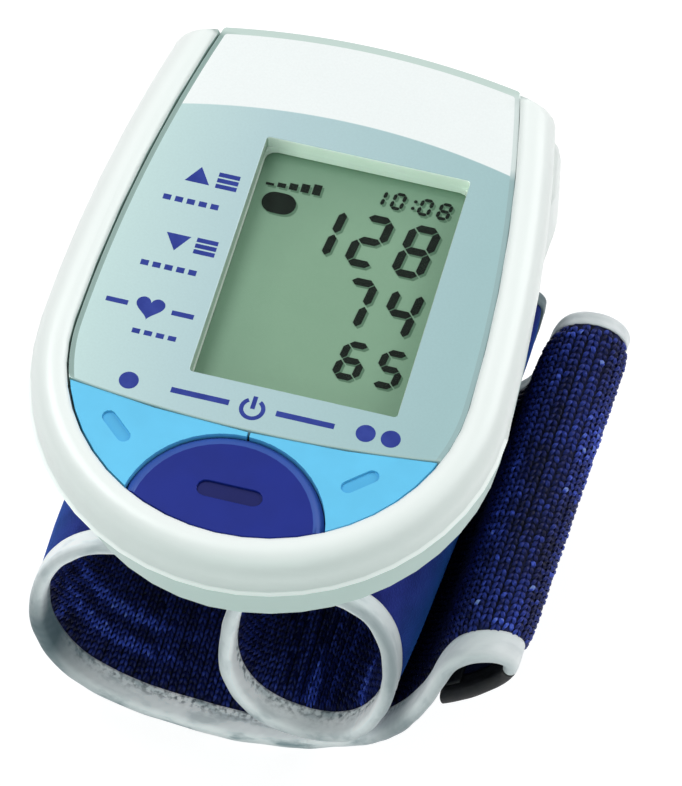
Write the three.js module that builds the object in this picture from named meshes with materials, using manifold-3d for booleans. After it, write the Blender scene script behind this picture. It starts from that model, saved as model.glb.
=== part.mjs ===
// Wrist blood pressure monitor: a moulded case with a display, three buttons and an air pump,
// carried on a padded fabric cuff whose short end rolls up and whose long tail folds over.
// Millimetres. X runs across the case, Y towards its top end, Z up. The origin lies on the flat
// underside of the cuff, below the middle of the case.

import * as THREE from 'three';
import { mergeVertices } from 'three/addons/utils/BufferGeometryUtils.js';
import Module from 'manifold-3d';

const wasm = await Module();
wasm.setup();

// Clearance between pieces that rest on, or fit in, one another
const FIT = 0.3;

// Case in plan
const CASE_LENGTH = 90.2;
const CASE_WIDTH = 67.6;
const RIM_WIDTH = 5.2;
const SIDE_RADIUS = 235;
const TOP_RADIUS = 114;
const CORNER_RADIUS = 3;
const LENS_CORNER = 0.6;

// Case in height: depths below the face, and wall thicknesses
const CASE_DEPTH = 26.2;
const SEAM_DEPTH = 6;
const SHOULDER_DEPTH = 2.6;
const BELLY_DEPTH = 12.2;
const BAY_SHOULDER_DEPTH = 17;
const RIM_RISE = 0.9;
const RIM_CREST = 2;
const RIM_END = 1.2;
const WALL = 1.6;
const DECK = 1.2;
const LIP_HEIGHT = 2;
const LIP_WALL = 1.2;

// How far the lower housing draws in from the case's outline, and its battery end stands out
const BELLY_STEP = 0.5;
const BAY_BULGE = 1;
const BOWL_TAPER = 13;
const FOOT_CHAMFER = 1.5;

// Lens and display
const LENS = 2;
const BUTTON_FIELD = 17.5;
const LENS_EDGE_RADIUS = 185;
const WINDOW_WIDTH = 30;
const WINDOW_RADIUS = 1.5;
const WINDOW_SHIFT = 4.2;
const WINDOW_BELOW = 7.2;
const WINDOW_ABOVE = 2.1;
const LCD = 2;
const LCD_MARGIN = 1.2;
const HOLDER_FACE = 1.3;
const HOLDER_WALL = 1;
const STRIP_HEIGHT = 4.3;
const STRIP_WIDTH = 2.2;
const STRIP_INSET = 1.8;

// Buttons, switches and the circuit board
const CAP = 1.4;
const CAP_DROP = 0.3;
const CAP_GAP = 0.4;
const PRESS_TRAVEL = 0.7;
const START_RADIUS = 14.2;
const START_CENTRE_LIFT = 1.8;
const START_PAD_LIFT = 6.9;
const MEMORY_PAD_ANGLE = 42;
const MEMORY_PAD_RADIUS = 22.8;
const PAD_DEPTH = 0.4;
const START_PAD = { length: 9.4, width: 2.6 };
const MEMORY_PAD = { length: 5.8, width: 2 };
const STEM_RADIUS = 1.6;
const SEAL = 0.4;
const SWITCH_SIZE = 6;
const SWITCH_HEIGHT = 3.4;
const PLUNGER_RADIUS = 1.2;
const PLUNGER_REACH = 1;
const PLUNGER_SEAT = 1;
const BOARD = 1.6;
const BOARD_INSET = 3.5;
const CHIP = { size: 9, height: 1.3, x: -9, back: 5.8 };

// Screws that hold the two housings together, and their posts
const SCREW_RADIUS = 1;
const HEAD_RADIUS = 2;
const HEAD_HEIGHT = 1.4;
const SCREW_LENGTH = 8;
const POST_WALL = 1.2;
const SEAT = 2.2;
const BOSS_DROP = 1;
const FRONT_BOSS_ANGLE = 23;
const FRONT_BOSS_INSET = 8.8;
const REAR_BOSS_BACK = 16.1;
const BOARD_POST_RADIUS = 1.8;
const FRONT_POST = { x: 11, ahead: 6 };
const REAR_POST = { x: 16, back: 8.1 };

// Batteries, two AAA cells one above the other, and their bay
const CELL_DIAMETER = 10.5;
const CELL_LENGTH = 44.5;
const CELL_NUB_RADIUS = 1.9;
const CELL_NUB = 1;
const DOOR = 1.6;
const DOOR_SILL = 0.6;
const CONTACT = 0.4;
const CONTACT_WIDTH = 7;
const CONTACT_HEIGHT = 7;
const CONTACT_RIB = 0.9;

// Air system on the floor of the lower housing
const MOTOR_DIAMETER = 10.5;
const MOTOR_LENGTH = 19;
const MOTOR_X = -11;
const MOTOR_GAP = 1.2;
const HEAD_SIZE = 10.8;
const HEAD_LENGTH = 9;
const NIPPLE_RADIUS = 1.2;
const NIPPLE_LENGTH = 3;
const TUBE_WALL = 0.7;
const MANIFOLD_SIZE = 6;
const VALVE = { width: 8, length: 10, height: 9 };
const SENSOR = { size: 6.4, drop: 1.6 };
const NOZZLE_RADIUS = 2;
const NOZZLE_BORE = 1;
const NOZZLE_FLANGE_RADIUS = 3.2;
const NOZZLE_FLANGE = 1;

// Cuff: layers from the middle outwards, with a tape folded over each long edge
const CUFF_WIDTH = 59;
const LOOP_HEIGHT = 47.7;
const LAYER_GAP = 0.25;
const BLADDER = 0.5;
const BLADDER_WIDTH = 46;
const FABRIC = 0.4;
const TAPE = 0.35;
const OUTER_FLAP = 2.8;
const INNER_FLAP = 4.5;
const HOOK = 0.8;
const HOOK_WIDTH = 46;
const PLATE = 1.2;
const PLATE_WIDTH = 19;
const PLATE_LENGTH = 46;
const PLATE_SCREW = { radius: 0.9, head: 1.8, headHeight: 0.9, inset: 3 };

// Stops on the cuff's route, seen from the front, at the middle of the band's thickness.
// Heights count from the floor, drops from the strap under the case, headings from +X.
const STRAP_LEFT = -15;
const STRAP_RIGHT = 9.5;
const LOOP_LEFT = { x: -30.3, z: 22 };
const FLAT_LEFT = -14;
const FLAT_RIGHT = 6;
const TAIL_HINGE = { x: 19.5, z: 10.4, heading: 50 };
const TAIL_RISE = { x: 27.9, z: 27.1, heading: 70 };
const HUMP_TOP = { x: 35.8, z: 40.2 };
const HUMP_RIGHT = { x: 39.2, z: 36.6 };
const TAIL_END = { x: 32.7, z: 28.7, heading: -143 };
const TAIL_FLARE = { x: 2.6, rise: 1, z: 3.2 };
const ROLL_END = { x: -0.3, drop: 5.7, heading: -100 };
const ROLL_LEFT = { x: -2.5, drop: 23.7 };
const ROLL_BOTTOM_FRONT = { x: 7.2, z: 8.6 };
const ROLL_BOTTOM_REAR = { x: 6, z: 9.6 };
const ROLL_RIGHT_FRONT = { x: 22.2, drop: 17.6, heading: 90 };
const ROLL_RIGHT_REAR = { x: 28.6, drop: 2.7, heading: 86 };
const ROLL_TOP_FRONT = { x: 19, drop: 3.2, heading: 125 };
const ROLL_TOP_REAR = { x: 24.6, drop: 0, heading: 180 };

// Facets of round shapes
const ROUND_STEPS = 12;
const SIDE_STEPS = 6;
const CORNER_STEPS = 3;
const TOP_STEPS = 4;
const RIM_STEPS = 4;
const ROD_SIDES = 20;
const SMALL_ROD_SIDES = 12;
const EDGE_STEPS = 10;
const BEND_PER_STEP = 13;

// Levels worked out from the sizes above; the case's own levels count from its face
const openingRadius = CASE_WIDTH / 2 - RIM_WIDTH;
const roundY = CASE_WIDTH / 2 - CASE_LENGTH / 2;
const topY = CASE_LENGTH / 2;
const roundBottomY = roundY - openingRadius;
const lensEdgeY = roundBottomY + BUTTON_FIELD;
const pocketFloor = -LENS - FIT;
const capBottom = -CAP_DROP - CAP;
const sealTop = capBottom - PRESS_TRAVEL - FIT;
const buttonFloor = sealTop - SEAL - FIT;
const deckBottom = buttonFloor - DECK;
const lcdTop = pocketFloor - HOLDER_FACE - FIT;
const lcdBottom = lcdTop - LCD;
const boardTop = lcdBottom - STRIP_HEIGHT - 2 * FIT;
const boardBottom = boardTop - BOARD;
const switchTop = boardTop + FIT + SWITCH_HEIGHT;
const plungerTop = switchTop + PLUNGER_REACH;
const plungerBottom = switchTop - PLUNGER_SEAT;
const stemBottom = plungerTop + FIT;
const floorTop = WALL - CASE_DEPTH;
const lowerTop = -SEAM_DEPTH - FIT;
const bossBottom = boardBottom - BOSS_DROP;
const seatBottom = bossBottom - FIT - SEAT;
const bossRadius = SCREW_RADIUS + FIT + POST_WALL;
const wellRadius = HEAD_RADIUS + FIT;
const lcdHalfWidth = WINDOW_WIDTH / 2 + LCD_MARGIN;
const holderMargin = FIT + HOLDER_WALL;
const cellRadius = CELL_DIAMETER / 2;
const cellRoof = pocketFloor - DECK;
const upperCellZ = cellRoof - FIT - cellRadius;
const lowerCellZ = upperCellZ - CELL_DIAMETER - FIT;
const bayFloor = lowerCellZ - cellRadius - FIT;
const bayBottom = bayFloor - WALL;
const doorHalf = CELL_LENGTH / 2;
const endDrop = TOP_RADIUS - Math.sqrt(TOP_RADIUS ** 2 - (doorHalf + FIT) ** 2);
const cellY = topY - BELLY_STEP - endDrop - DOOR - FIT - cellRadius;
const bayFront = cellY - cellRadius - FIT - WALL;
const windowLow = lensEdgeY + WINDOW_BELOW;
const windowHigh = bayFront - WINDOW_ABOVE;
const windowLength = windowHigh - windowLow;
const windowY = (windowHigh + windowLow) / 2;
const lcdHalfLength = windowLength / 2 + LCD_MARGIN;
const doorTop = lowerTop - WALL;
const doorBottom = bayFloor + DOOR_SILL;
const contactX = CELL_LENGTH / 2 + FIT;
const ribX = contactX + CONTACT + FIT;
const bayHalf = ribX + CONTACT_RIB + WALL;
const halfWidthAtCells = openingRadius - SIDE_RADIUS
  + Math.sqrt((SIDE_RADIUS + RIM_WIDTH) ** 2 - (cellY - roundY) ** 2);
const bayTaper = halfWidthAtCells - BELLY_STEP - bayHalf;
const airZ = floorTop + FIT + MOTOR_DIAMETER / 2;
const plateScrewY = PLATE_LENGTH / 2 - PLATE_SCREW.inset;
const motorY = PLATE_SCREW.head + MOTOR_GAP - plateScrewY;
const headFront = motorY + MOTOR_LENGTH + FIT;
const airY = headFront + HEAD_LENGTH / 2;
const nippleGap = MANIFOLD_SIZE / 2 + 2 * NIPPLE_LENGTH + FIT;
const manifoldX = MOTOR_X + HEAD_SIZE / 2 + nippleGap;
const valveRear = airY - nippleGap;
const sensorLeft = manifoldX + nippleGap;
const tubeBore = NIPPLE_RADIUS + FIT;
const tubeRadius = tubeBore + TUBE_WALL;
const pile = TAPE + LAYER_GAP;
const tongue = BLADDER / 2 + LAYER_GAP + FABRIC;
const halfBand = tongue + pile;
const strapZ = LOOP_HEIGHT - halfBand;
const plateZ = LOOP_HEIGHT + FIT;
const faceZ = plateZ + PLATE + FIT + CASE_DEPTH;
const halfCuff = CUFF_WIDTH / 2;

const whitePlastic = new THREE.MeshStandardMaterial({ color: 0xf4faf8, roughness: 0.3 });
const clearAcrylic = new THREE.MeshStandardMaterial({
  color: 0xc4dcdf, roughness: 0.08, transparent: true, opacity: 0.4,
});
const paleFrame = new THREE.MeshStandardMaterial({ color: 0xcfe6dc, roughness: 0.5 });
const displayGlass = new THREE.MeshStandardMaterial({ color: 0x83a88c, roughness: 0.15 });
const skyBlueCap = new THREE.MeshStandardMaterial({ color: 0x6fcdf6, roughness: 0.35 });
const deepBlueCap = new THREE.MeshStandardMaterial({ color: 0x2b3a8f, roughness: 0.35 });
const blackRubber = new THREE.MeshStandardMaterial({ color: 0x1c1d20, roughness: 0.8 });
const boardGreen = new THREE.MeshStandardMaterial({ color: 0x1f6b41, roughness: 0.6 });
const blackPart = new THREE.MeshStandardMaterial({ color: 0x26282c, roughness: 0.55 });
const greyPart = new THREE.MeshStandardMaterial({ color: 0x9aa0a3, roughness: 0.55 });
const plainSteel = new THREE.MeshStandardMaterial({ color: 0xb5b8ba, roughness: 0.35, metalness: 1 });
const clearSilicone = new THREE.MeshStandardMaterial({ color: 0xd6d8d2, roughness: 0.6 });
const cellWrap = new THREE.MeshStandardMaterial({ color: 0x3c4653, roughness: 0.4 });
const navyVelour = new THREE.MeshStandardMaterial({ color: 0x1d2160, roughness: 0.95 });
const navyKnit = new THREE.MeshStandardMaterial({ color: 0x232a7c, roughness: 0.95 });
const greyTape = new THREE.MeshStandardMaterial({ color: 0xb9c4c7, roughness: 0.7 });
const greyFilm = new THREE.MeshStandardMaterial({ color: 0x6f7a85, roughness: 0.6 });

// Solids: closed geometry becomes a solid to be joined and cut, and goes back for its mesh
function solid(geometry) {
  const bare = geometry.clone();
  bare.deleteAttribute('normal');
  bare.deleteAttribute('uv');
  const merged = mergeVertices(bare, 1e-4);
  const vertProperties = new Float32Array(merged.attributes.position.array);
  const triVerts = new Uint32Array(merged.index.array);
  return new wasm.Manifold(new wasm.Mesh({ numProp: 3, vertProperties, triVerts }));
}

function join(first, ...others) {
  return others.reduce((sum, other) => sum.add(other), first);
}

function cut(first, ...others) {
  return others.reduce((rest, other) => rest.subtract(other), first);
}

function keep(first, ...others) {
  return others.reduce((rest, other) => rest.intersect(other), first);
}

function piece(group, name, form, material) {
  const { vertProperties, triVerts } = form.getMesh();
  const geometry = new THREE.BufferGeometry();
  geometry.setAttribute('position', new THREE.BufferAttribute(vertProperties, 3));
  geometry.setIndex(new THREE.BufferAttribute(triVerts, 1));
  geometry.computeVertexNormals();
  const mesh = new THREE.Mesh(geometry, material);
  mesh.name = name;
  group.add(mesh);
  return mesh;
}

// A block between two corners
function block(low, high) {
  const size = high.map((value, axis) => value - low[axis]);
  const middle = high.map((value, axis) => (value + low[axis]) / 2);
  return solid(new THREE.BoxGeometry(...size).translate(...middle));
}

// A round rod between two points
function rod(radius, from, to, sides = ROD_SIDES) {
  const start = new THREE.Vector3(...from);
  const run = new THREE.Vector3(...to).sub(start);
  const geometry = new THREE.CylinderGeometry(radius, radius, run.length(), sides);
  const turn = new THREE.Quaternion().setFromUnitVectors(
    new THREE.Vector3(0, 1, 0), run.clone().normalize());
  geometry.applyQuaternion(turn);
  return solid(geometry.translate(...start.addScaledVector(run, 0.5).toArray()));
}

function pipe(radius, bore, from, to) {
  const run = from.map((value, axis) => to[axis] - value);
  const before = from.map((value, axis) => value - run[axis]);
  const after = to.map((value, axis) => value + run[axis]);
  return cut(rod(radius, from, to, SMALL_ROD_SIDES), rod(bore, before, after, SMALL_ROD_SIDES));
}

// An upright prism of a plan shape between two heights
function prism(points, low, high) {
  const options = { depth: high - low, bevelEnabled: false };
  return solid(new THREE.ExtrudeGeometry(new THREE.Shape(points), options).translate(0, 0, low));
}

// Points of an arc, without its last one
function arc(x, y, radius, from, to, steps) {
  return Array.from({ length: steps }, (_, step) => {
    const angle = THREE.MathUtils.lerp(from, to, step / steps);
    return new THREE.Vector2(x + radius * Math.cos(angle), y + radius * Math.sin(angle));
  });
}

function wholeArc(x, y, radius, from, to, steps) {
  const end = new THREE.Vector2(x + radius * Math.cos(to), y + radius * Math.sin(to));
  return [...arc(x, y, radius, from, to, steps), end];
}

function roundedRectangle(width, length, radius, x, y) {
  const right = x + width / 2 - radius;
  const left = x - width / 2 + radius;
  const top = y + length / 2 - radius;
  const bottom = y - length / 2 + radius;
  return [[right, top, 0], [left, top, 1], [left, bottom, 2], [right, bottom, 3]].flatMap(
    ([cornerX, cornerY, quarter]) => wholeArc(
      cornerX, cornerY, radius, quarter * (Math.PI / 2), (quarter + 1) * (Math.PI / 2), CORNER_STEPS));
}

// The upper of the two points where two circles cross
function upperCrossing(a, radiusA, b, radiusB) {
  const gap = a.distanceTo(b);
  const along = (radiusA ** 2 - radiusB ** 2 + gap ** 2) / (2 * gap);
  const aside = Math.sqrt(radiusA ** 2 - along ** 2);
  const way = b.clone().sub(a).normalize();
  const foot = a.clone().addScaledVector(way, along);
  const across = new THREE.Vector2(-way.y, way.x);
  const one = foot.clone().addScaledVector(across, aside);
  const two = foot.clone().addScaledVector(across, -aside);
  return one.y > two.y ? one : two;
}

// Plan of the lens opening, grown by offset at its sides and round end and by reach at its top;
// its top corners are rounder further out
function outline(offset, reach = 0) {
  const growth = Math.max(0, offset / RIM_WIDTH);
  const curl = THREE.MathUtils.lerp(LENS_CORNER, CORNER_RADIUS, growth);
  const side = new THREE.Vector2(openingRadius - SIDE_RADIUS, roundY);
  const top = new THREE.Vector2(0, topY - TOP_RADIUS);
  const sideRadius = SIDE_RADIUS + offset;
  const topRadius = TOP_RADIUS + reach;
  const corner = upperCrossing(side, sideRadius - curl, top, topRadius - curl);
  const leave = Math.atan2(corner.y - side.y, corner.x - side.x);
  const arrive = Math.atan2(corner.y - top.y, corner.x - top.x);
  const right = [
    ...arc(0, roundY, openingRadius + offset, -Math.PI / 2, 0, ROUND_STEPS),
    ...arc(side.x, side.y, sideRadius, 0, leave, SIDE_STEPS),
    ...arc(corner.x, corner.y, curl, leave, arrive, CORNER_STEPS),
    ...arc(0, top.y, topRadius, arrive, Math.PI / 2, TOP_STEPS),
  ];
  const left = right.slice(1).reverse().map((point) => new THREE.Vector2(-point.x, point.y));
  return [...right, new THREE.Vector2(0, topY + reach), ...left];
}

// A closed skin over rings of equal count, listed from the lowest up, with flat ends
function loft(rings) {
  const count = rings[0].length;
  const positions = rings.flat().flatMap((point) => point.toArray());
  const index = [];
  for (let level = 0; level < rings.length - 1; level += 1) {
    for (let step = 0; step < count; step += 1) {
      const a = level * count + step;
      const b = level * count + (step + 1) % count;
      index.push(a, b, b + count, a, b + count, a + count);
    }
  }
  const last = (rings.length - 1) * count;
  const plan = rings.map((ring) => ring.map((point) => new THREE.Vector2(point.x, point.y)));
  for (const [a, b, c] of THREE.ShapeUtils.triangulateShape(plan[0], [])) index.push(a, c, b);
  for (const [a, b, c] of THREE.ShapeUtils.triangulateShape(plan.at(-1), [])) {
    index.push(last + a, last + b, last + c);
  }
  const geometry = new THREE.BufferGeometry();
  geometry.setAttribute('position', new THREE.Float32BufferAttribute(positions, 3));
  geometry.setIndex(index);
  return solid(geometry);
}

function ring(offset, reach, z) {
  return outline(offset, reach).map((point) => new THREE.Vector3(point.x, point.y, z));
}

// The plan above the lens's lower edge, moved down by gap
function lensSide(gap) {
  const radius = LENS_EDGE_RADIUS + gap;
  const middle = lensEdgeY + LENS_EDGE_RADIUS;
  const spread = Math.asin(CASE_WIDTH / radius);
  const down = -Math.PI / 2;
  return [
    ...wholeArc(0, middle, radius, down - spread, down + spread, EDGE_STEPS),
    new THREE.Vector2(CASE_WIDTH, CASE_LENGTH),
    new THREE.Vector2(-CASE_WIDTH, CASE_LENGTH),
  ];
}

// Places that several pieces share
const frontBossRadius = CASE_WIDTH / 2 - FRONT_BOSS_INSET;
const frontBossTurn = THREE.MathUtils.degToRad(FRONT_BOSS_ANGLE);
const rearBossX = WINDOW_SHIFT + lcdHalfWidth + holderMargin + FIT + bossRadius;
const bosses = [-1, 1].flatMap((side) => [
  [
    side * frontBossRadius * Math.cos(frontBossTurn),
    roundY - frontBossRadius * Math.sin(frontBossTurn),
  ],
  [side * rearBossX, bayFront - REAR_BOSS_BACK],
]);

const boardPosts = [-1, 1].flatMap((side) => [
  [side * FRONT_POST.x, -plateScrewY - FRONT_POST.ahead],
  [side * REAR_POST.x, bayFront - REAR_POST.back],
]);

const memoryTurn = THREE.MathUtils.degToRad(MEMORY_PAD_ANGLE);
const memoryX = MEMORY_PAD_RADIUS * Math.cos(memoryTurn);
const memoryY = roundY - MEMORY_PAD_RADIUS * Math.sin(memoryTurn);
const keys = [
  { name: 'start', x: 0, y: roundBottomY + START_PAD_LIFT, pad: START_PAD, turn: 0 },
  { name: 'memory_left', x: -memoryX, y: memoryY, pad: MEMORY_PAD, turn: -memoryTurn },
  { name: 'memory_right', x: memoryX, y: memoryY, pad: MEMORY_PAD, turn: memoryTurn },
];

const plateX = (STRAP_LEFT + STRAP_RIGHT) / 2;
const plateScrews = [-1, 1].flatMap((side) => [-1, 1].map((end) => [
  plateX + side * (PLATE_WIDTH / 2 - PLATE_SCREW.inset),
  end * plateScrewY,
]));

// Everything on the case hangs from its face
const monitor = new THREE.Group();
const caseGroup = new THREE.Group();
caseGroup.position.z = faceZ;
monitor.add(caseGroup);

function upperHousing() {
  const quarter = Array.from(
    { length: RIM_STEPS }, (_, step) => ((step + 1) / RIM_STEPS) * (Math.PI / 2));
  const shoulder = quarter.map((angle) => ring(
    RIM_CREST + (RIM_WIDTH - RIM_CREST) * Math.cos(angle), -RIM_END * Math.sin(angle),
    (SHOULDER_DEPTH + RIM_RISE) * Math.sin(angle) - SHOULDER_DEPTH));
  const brow = quarter.map((angle) => ring(
    RIM_CREST * (1 - Math.sin(angle)), -RIM_END, RIM_RISE * Math.cos(angle)));
  const skin = loft([
    ring(RIM_WIDTH, 0, -SEAM_DEPTH),
    ring(RIM_WIDTH, 0, -SHOULDER_DEPTH),
    ...shoulder,
    ...brow,
  ]);
  const pocket = prism(outline(0, RIM_WIDTH), pocketFloor, RIM_RISE + FIT);
  const buttonPocket = cut(
    prism(outline(0), buttonFloor, RIM_RISE), prism(lensSide(0), buttonFloor - DECK, RIM_RISE));
  const hollowPlan = outline(RIM_WIDTH - WALL, -WALL);
  const hollow = prism(hollowPlan, -SEAM_DEPTH - WALL, deckBottom);
  const bayHollow = keep(
    prism(hollowPlan, -SEAM_DEPTH - WALL, cellRoof),
    block([-CASE_WIDTH, bayFront + WALL, bayFloor], [CASE_WIDTH, CASE_LENGTH, 0]));
  const holderHole = windowBlock(LCD_MARGIN + holderMargin + FIT, deckBottom - FIT, 0);
  const stems = keys.map(({ x, y }) => rod(
    STEM_RADIUS + FIT, [x, y, deckBottom - FIT], [x, y, 0], SMALL_ROD_SIDES));
  const lipOutside = RIM_WIDTH - BELLY_STEP - WALL - FIT;
  const lipLow = -SEAM_DEPTH - LIP_HEIGHT;
  const lip = keep(
    cut(
      prism(outline(lipOutside, -WALL - FIT), lipLow, deckBottom + DECK / 2),
      prism(outline(lipOutside - LIP_WALL, -WALL - FIT), lipLow - FIT, deckBottom + DECK)),
    block([-CASE_WIDTH, -CASE_LENGTH, lipLow], [CASE_WIDTH, bayFront - FIT, 0]));
  const posts = bosses.map(([x, y]) => rod(
    bossRadius, [x, y, bossBottom], [x, y, deckBottom + DECK / 2]));
  const pilots = bosses.map(([x, y]) => rod(
    SCREW_RADIUS + FIT, [x, y, bossBottom - FIT], [x, y, seatBottom + SCREW_LENGTH + FIT],
    SMALL_ROD_SIDES));
  const shell = cut(skin, pocket, buttonPocket, hollow, bayHollow);
  return cut(join(shell, lip, ...posts), holderHole, ...stems, ...pilots);
}

// Bowl under the seam; shrink gives its inside
function bowl(shrink, top) {
  const low = shrink - CASE_DEPTH;
  const level = (inset, z) => ring(RIM_WIDTH - inset - shrink, -inset - shrink, z);
  return loft([
    level(BELLY_STEP + BOWL_TAPER + FOOT_CHAMFER, low),
    level(BELLY_STEP + BOWL_TAPER, low + FOOT_CHAMFER),
    level(BELLY_STEP, -BELLY_DEPTH),
    level(BELLY_STEP, top),
  ]);
}

// Deep end that holds the cells; shrink gives its inside
function bay(shrink, top) {
  const low = bayBottom + shrink;
  const level = (inset, z) => ring(
    RIM_WIDTH - inset - shrink, -BELLY_STEP - shrink, z);
  return keep(
    loft([
      level(BELLY_STEP + bayTaper + FOOT_CHAMFER, low),
      level(BELLY_STEP + bayTaper, low + FOOT_CHAMFER),
      level(-BAY_BULGE, -BAY_SHOULDER_DEPTH),
      level(-BAY_BULGE, top),
    ]),
    block([-CASE_WIDTH, bayFront + shrink, low - WALL], [CASE_WIDTH, CASE_LENGTH, WALL]));
}

function doorway(gap) {
  return block(
    [-doorHalf - gap, cellY, doorBottom - gap], [doorHalf + gap, CASE_LENGTH, doorTop + gap]);
}

function lowerHousing() {
  const above = WALL;
  const bowlOutside = bowl(0, lowerTop);
  const bowlInside = bowl(WALL, above);
  const before = block(
    [-CASE_WIDTH, -CASE_LENGTH, -CASE_DEPTH], [CASE_WIDTH, bayFront, above]);
  const upper = block(
    [-CASE_WIDTH, -CASE_LENGTH, boardBottom], [CASE_WIDTH, CASE_LENGTH, above]);
  const bayInside = bay(WALL, above);
  const shell = cut(
    join(bowlOutside, bay(0, lowerTop)),
    keep(bowlInside, before), keep(bowlInside, upper), bayInside);
  const rests = boardPosts.map(([x, y]) => keep(
    rod(BOARD_POST_RADIUS, [x, y, -CASE_DEPTH], [x, y, boardBottom - FIT], SMALL_ROD_SIDES),
    bowlOutside));
  const posts = bosses.map(([x, y]) => keep(
    rod(wellRadius + POST_WALL, [x, y, -CASE_DEPTH], [x, y, bossBottom - FIT]), bowlOutside));
  const ribs = [-1, 1].map((side) => keep(
    block(
      [Math.min(side * ribX, side * CASE_WIDTH), cellY - CONTACT_WIDTH / 2, bayFloor - WALL / 2],
      [Math.max(side * ribX, side * CASE_WIDTH), cellY + CONTACT_WIDTH / 2, lowerTop]),
    bay(WALL / 2, lowerTop)));
  const wells = bosses.map(([x, y]) => rod(
    wellRadius, [x, y, -CASE_DEPTH - FIT], [x, y, seatBottom], SMALL_ROD_SIDES));
  const pilots = bosses.map(([x, y]) => rod(
    SCREW_RADIUS + FIT, [x, y, seatBottom - FIT], [x, y, bossBottom], SMALL_ROD_SIDES));
  const floorHoles = plateScrews.map(([x, y]) => rod(
    PLATE_SCREW.radius + FIT, [x, y, -CASE_DEPTH - FIT], [x, y, floorTop + FIT], SMALL_ROD_SIDES));
  const nozzleHole = rod(
    NOZZLE_RADIUS + FIT, [manifoldX, airY, -CASE_DEPTH - FIT], [manifoldX, airY, floorTop + FIT],
    SMALL_ROD_SIDES);
  return cut(
    join(shell, ...rests, ...posts, ...ribs),
    ...wells, ...pilots, ...floorHoles, nozzleHole, doorway(FIT));
}

function batteryDoor() {
  const inside = prism(
    outline(RIM_WIDTH, -BELLY_STEP - DOOR), doorBottom - WALL, doorTop + WALL);
  return cut(keep(bay(0, lowerTop), doorway(0)), inside);
}

function displayLens() {
  return keep(
    prism(outline(-FIT), -LENS, 0), prism(lensSide(0), -LENS - FIT, FIT));
}

function windowBlock(margin, low, high) {
  const halfWidth = WINDOW_WIDTH / 2 + margin;
  const halfLength = windowLength / 2 + margin;
  return block(
    [WINDOW_SHIFT - halfWidth, windowY - halfLength, low],
    [WINDOW_SHIFT + halfWidth, windowY + halfLength, high]);
}

function lcdHolder() {
  const opening = prism(
    roundedRectangle(WINDOW_WIDTH, windowLength, WINDOW_RADIUS, WINDOW_SHIFT, windowY),
    boardTop, 0);
  return cut(
    windowBlock(LCD_MARGIN + holderMargin, boardTop + FIT, pocketFloor),
    windowBlock(LCD_MARGIN + FIT, boardTop, lcdTop + FIT),
    opening);
}

function lcdStrip(end) {
  const y = windowY + end * (lcdHalfLength - STRIP_INSET);
  return block(
    [WINDOW_SHIFT - WINDOW_WIDTH / 2, y - STRIP_WIDTH / 2, boardTop + FIT],
    [WINDOW_SHIFT + WINDOW_WIDTH / 2, y + STRIP_WIDTH / 2, lcdBottom - FIT]);
}

function circuitBoard() {
  const plan = prism(outline(-BOARD_INSET), boardBottom, boardTop);
  const before = block(
    [-CASE_WIDTH, -CASE_LENGTH, boardBottom - FIT],
    [CASE_WIDTH, bayFront - FIT, boardTop + FIT]);
  const holes = bosses.map(([x, y]) => rod(
    bossRadius + FIT, [x, y, boardBottom - FIT], [x, y, boardTop + FIT], SMALL_ROD_SIDES));
  return cut(keep(plan, before), ...holes);
}

// Caps fill the opening below the lens: a round start button, and two memory buttons beside it
function capPlan(name, low, high) {
  const field = cut(
    prism(outline(-CAP_GAP), low, high), prism(lensSide(CAP_GAP), low - FIT, high + FIT));
  const y = roundBottomY + START_CENTRE_LIFT;
  const disc = (radius) => rod(radius, [0, y, low - FIT], [0, y, high + FIT], 4 * ROUND_STEPS);
  if (name === 'start') return keep(field, disc(START_RADIUS));
  const side = name === 'memory_left' ? -1 : 1;
  const inner = (side * CAP_GAP) / 2;
  const half = block(
    [Math.min(inner, side * CASE_WIDTH), -CASE_LENGTH, low - FIT],
    [Math.max(inner, side * CASE_WIDTH), CASE_LENGTH, high + FIT]);
  return cut(keep(field, half), disc(START_RADIUS + CAP_GAP));
}

function buttonCap({ name, x, y, pad, turn }) {
  const reach = (pad.length - pad.width) / 2;
  const ends = [-1, 1].map((end) => rod(
    pad.width / 2,
    [x + end * reach * Math.cos(turn), y + end * reach * Math.sin(turn), -CAP_DROP - PAD_DEPTH],
    [x + end * reach * Math.cos(turn), y + end * reach * Math.sin(turn), FIT], SMALL_ROD_SIDES));
  const bar = new THREE.BoxGeometry(2 * reach, pad.width, PAD_DEPTH + CAP_DROP + FIT);
  bar.rotateZ(turn).translate(x, y, (FIT - CAP_DROP - PAD_DEPTH) / 2);
  const stem = rod(STEM_RADIUS, [x, y, stemBottom], [x, y, capBottom + CAP / 2], SMALL_ROD_SIDES);
  return cut(join(capPlan(name, capBottom, -CAP_DROP), stem), ...ends, solid(bar));
}

function buttonSeal() {
  const field = cut(
    prism(outline(-CAP_GAP), sealTop - SEAL, sealTop),
    prism(lensSide(CAP_GAP), sealTop - SEAL - FIT, sealTop + FIT));
  const holes = keys.map(({ x, y }) => rod(
    STEM_RADIUS + FIT, [x, y, sealTop - SEAL - FIT], [x, y, sealTop + FIT], SMALL_ROD_SIDES));
  return cut(field, ...holes);
}

function tactSwitch({ x, y }) {
  const half = SWITCH_SIZE / 2;
  return cut(
    block([x - half, y - half, boardTop + FIT], [x + half, y + half, switchTop]),
    rod(PLUNGER_RADIUS + FIT, [x, y, plungerBottom - PRESS_TRAVEL - FIT], [x, y, switchTop + FIT],
      SMALL_ROD_SIDES));
}

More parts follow.
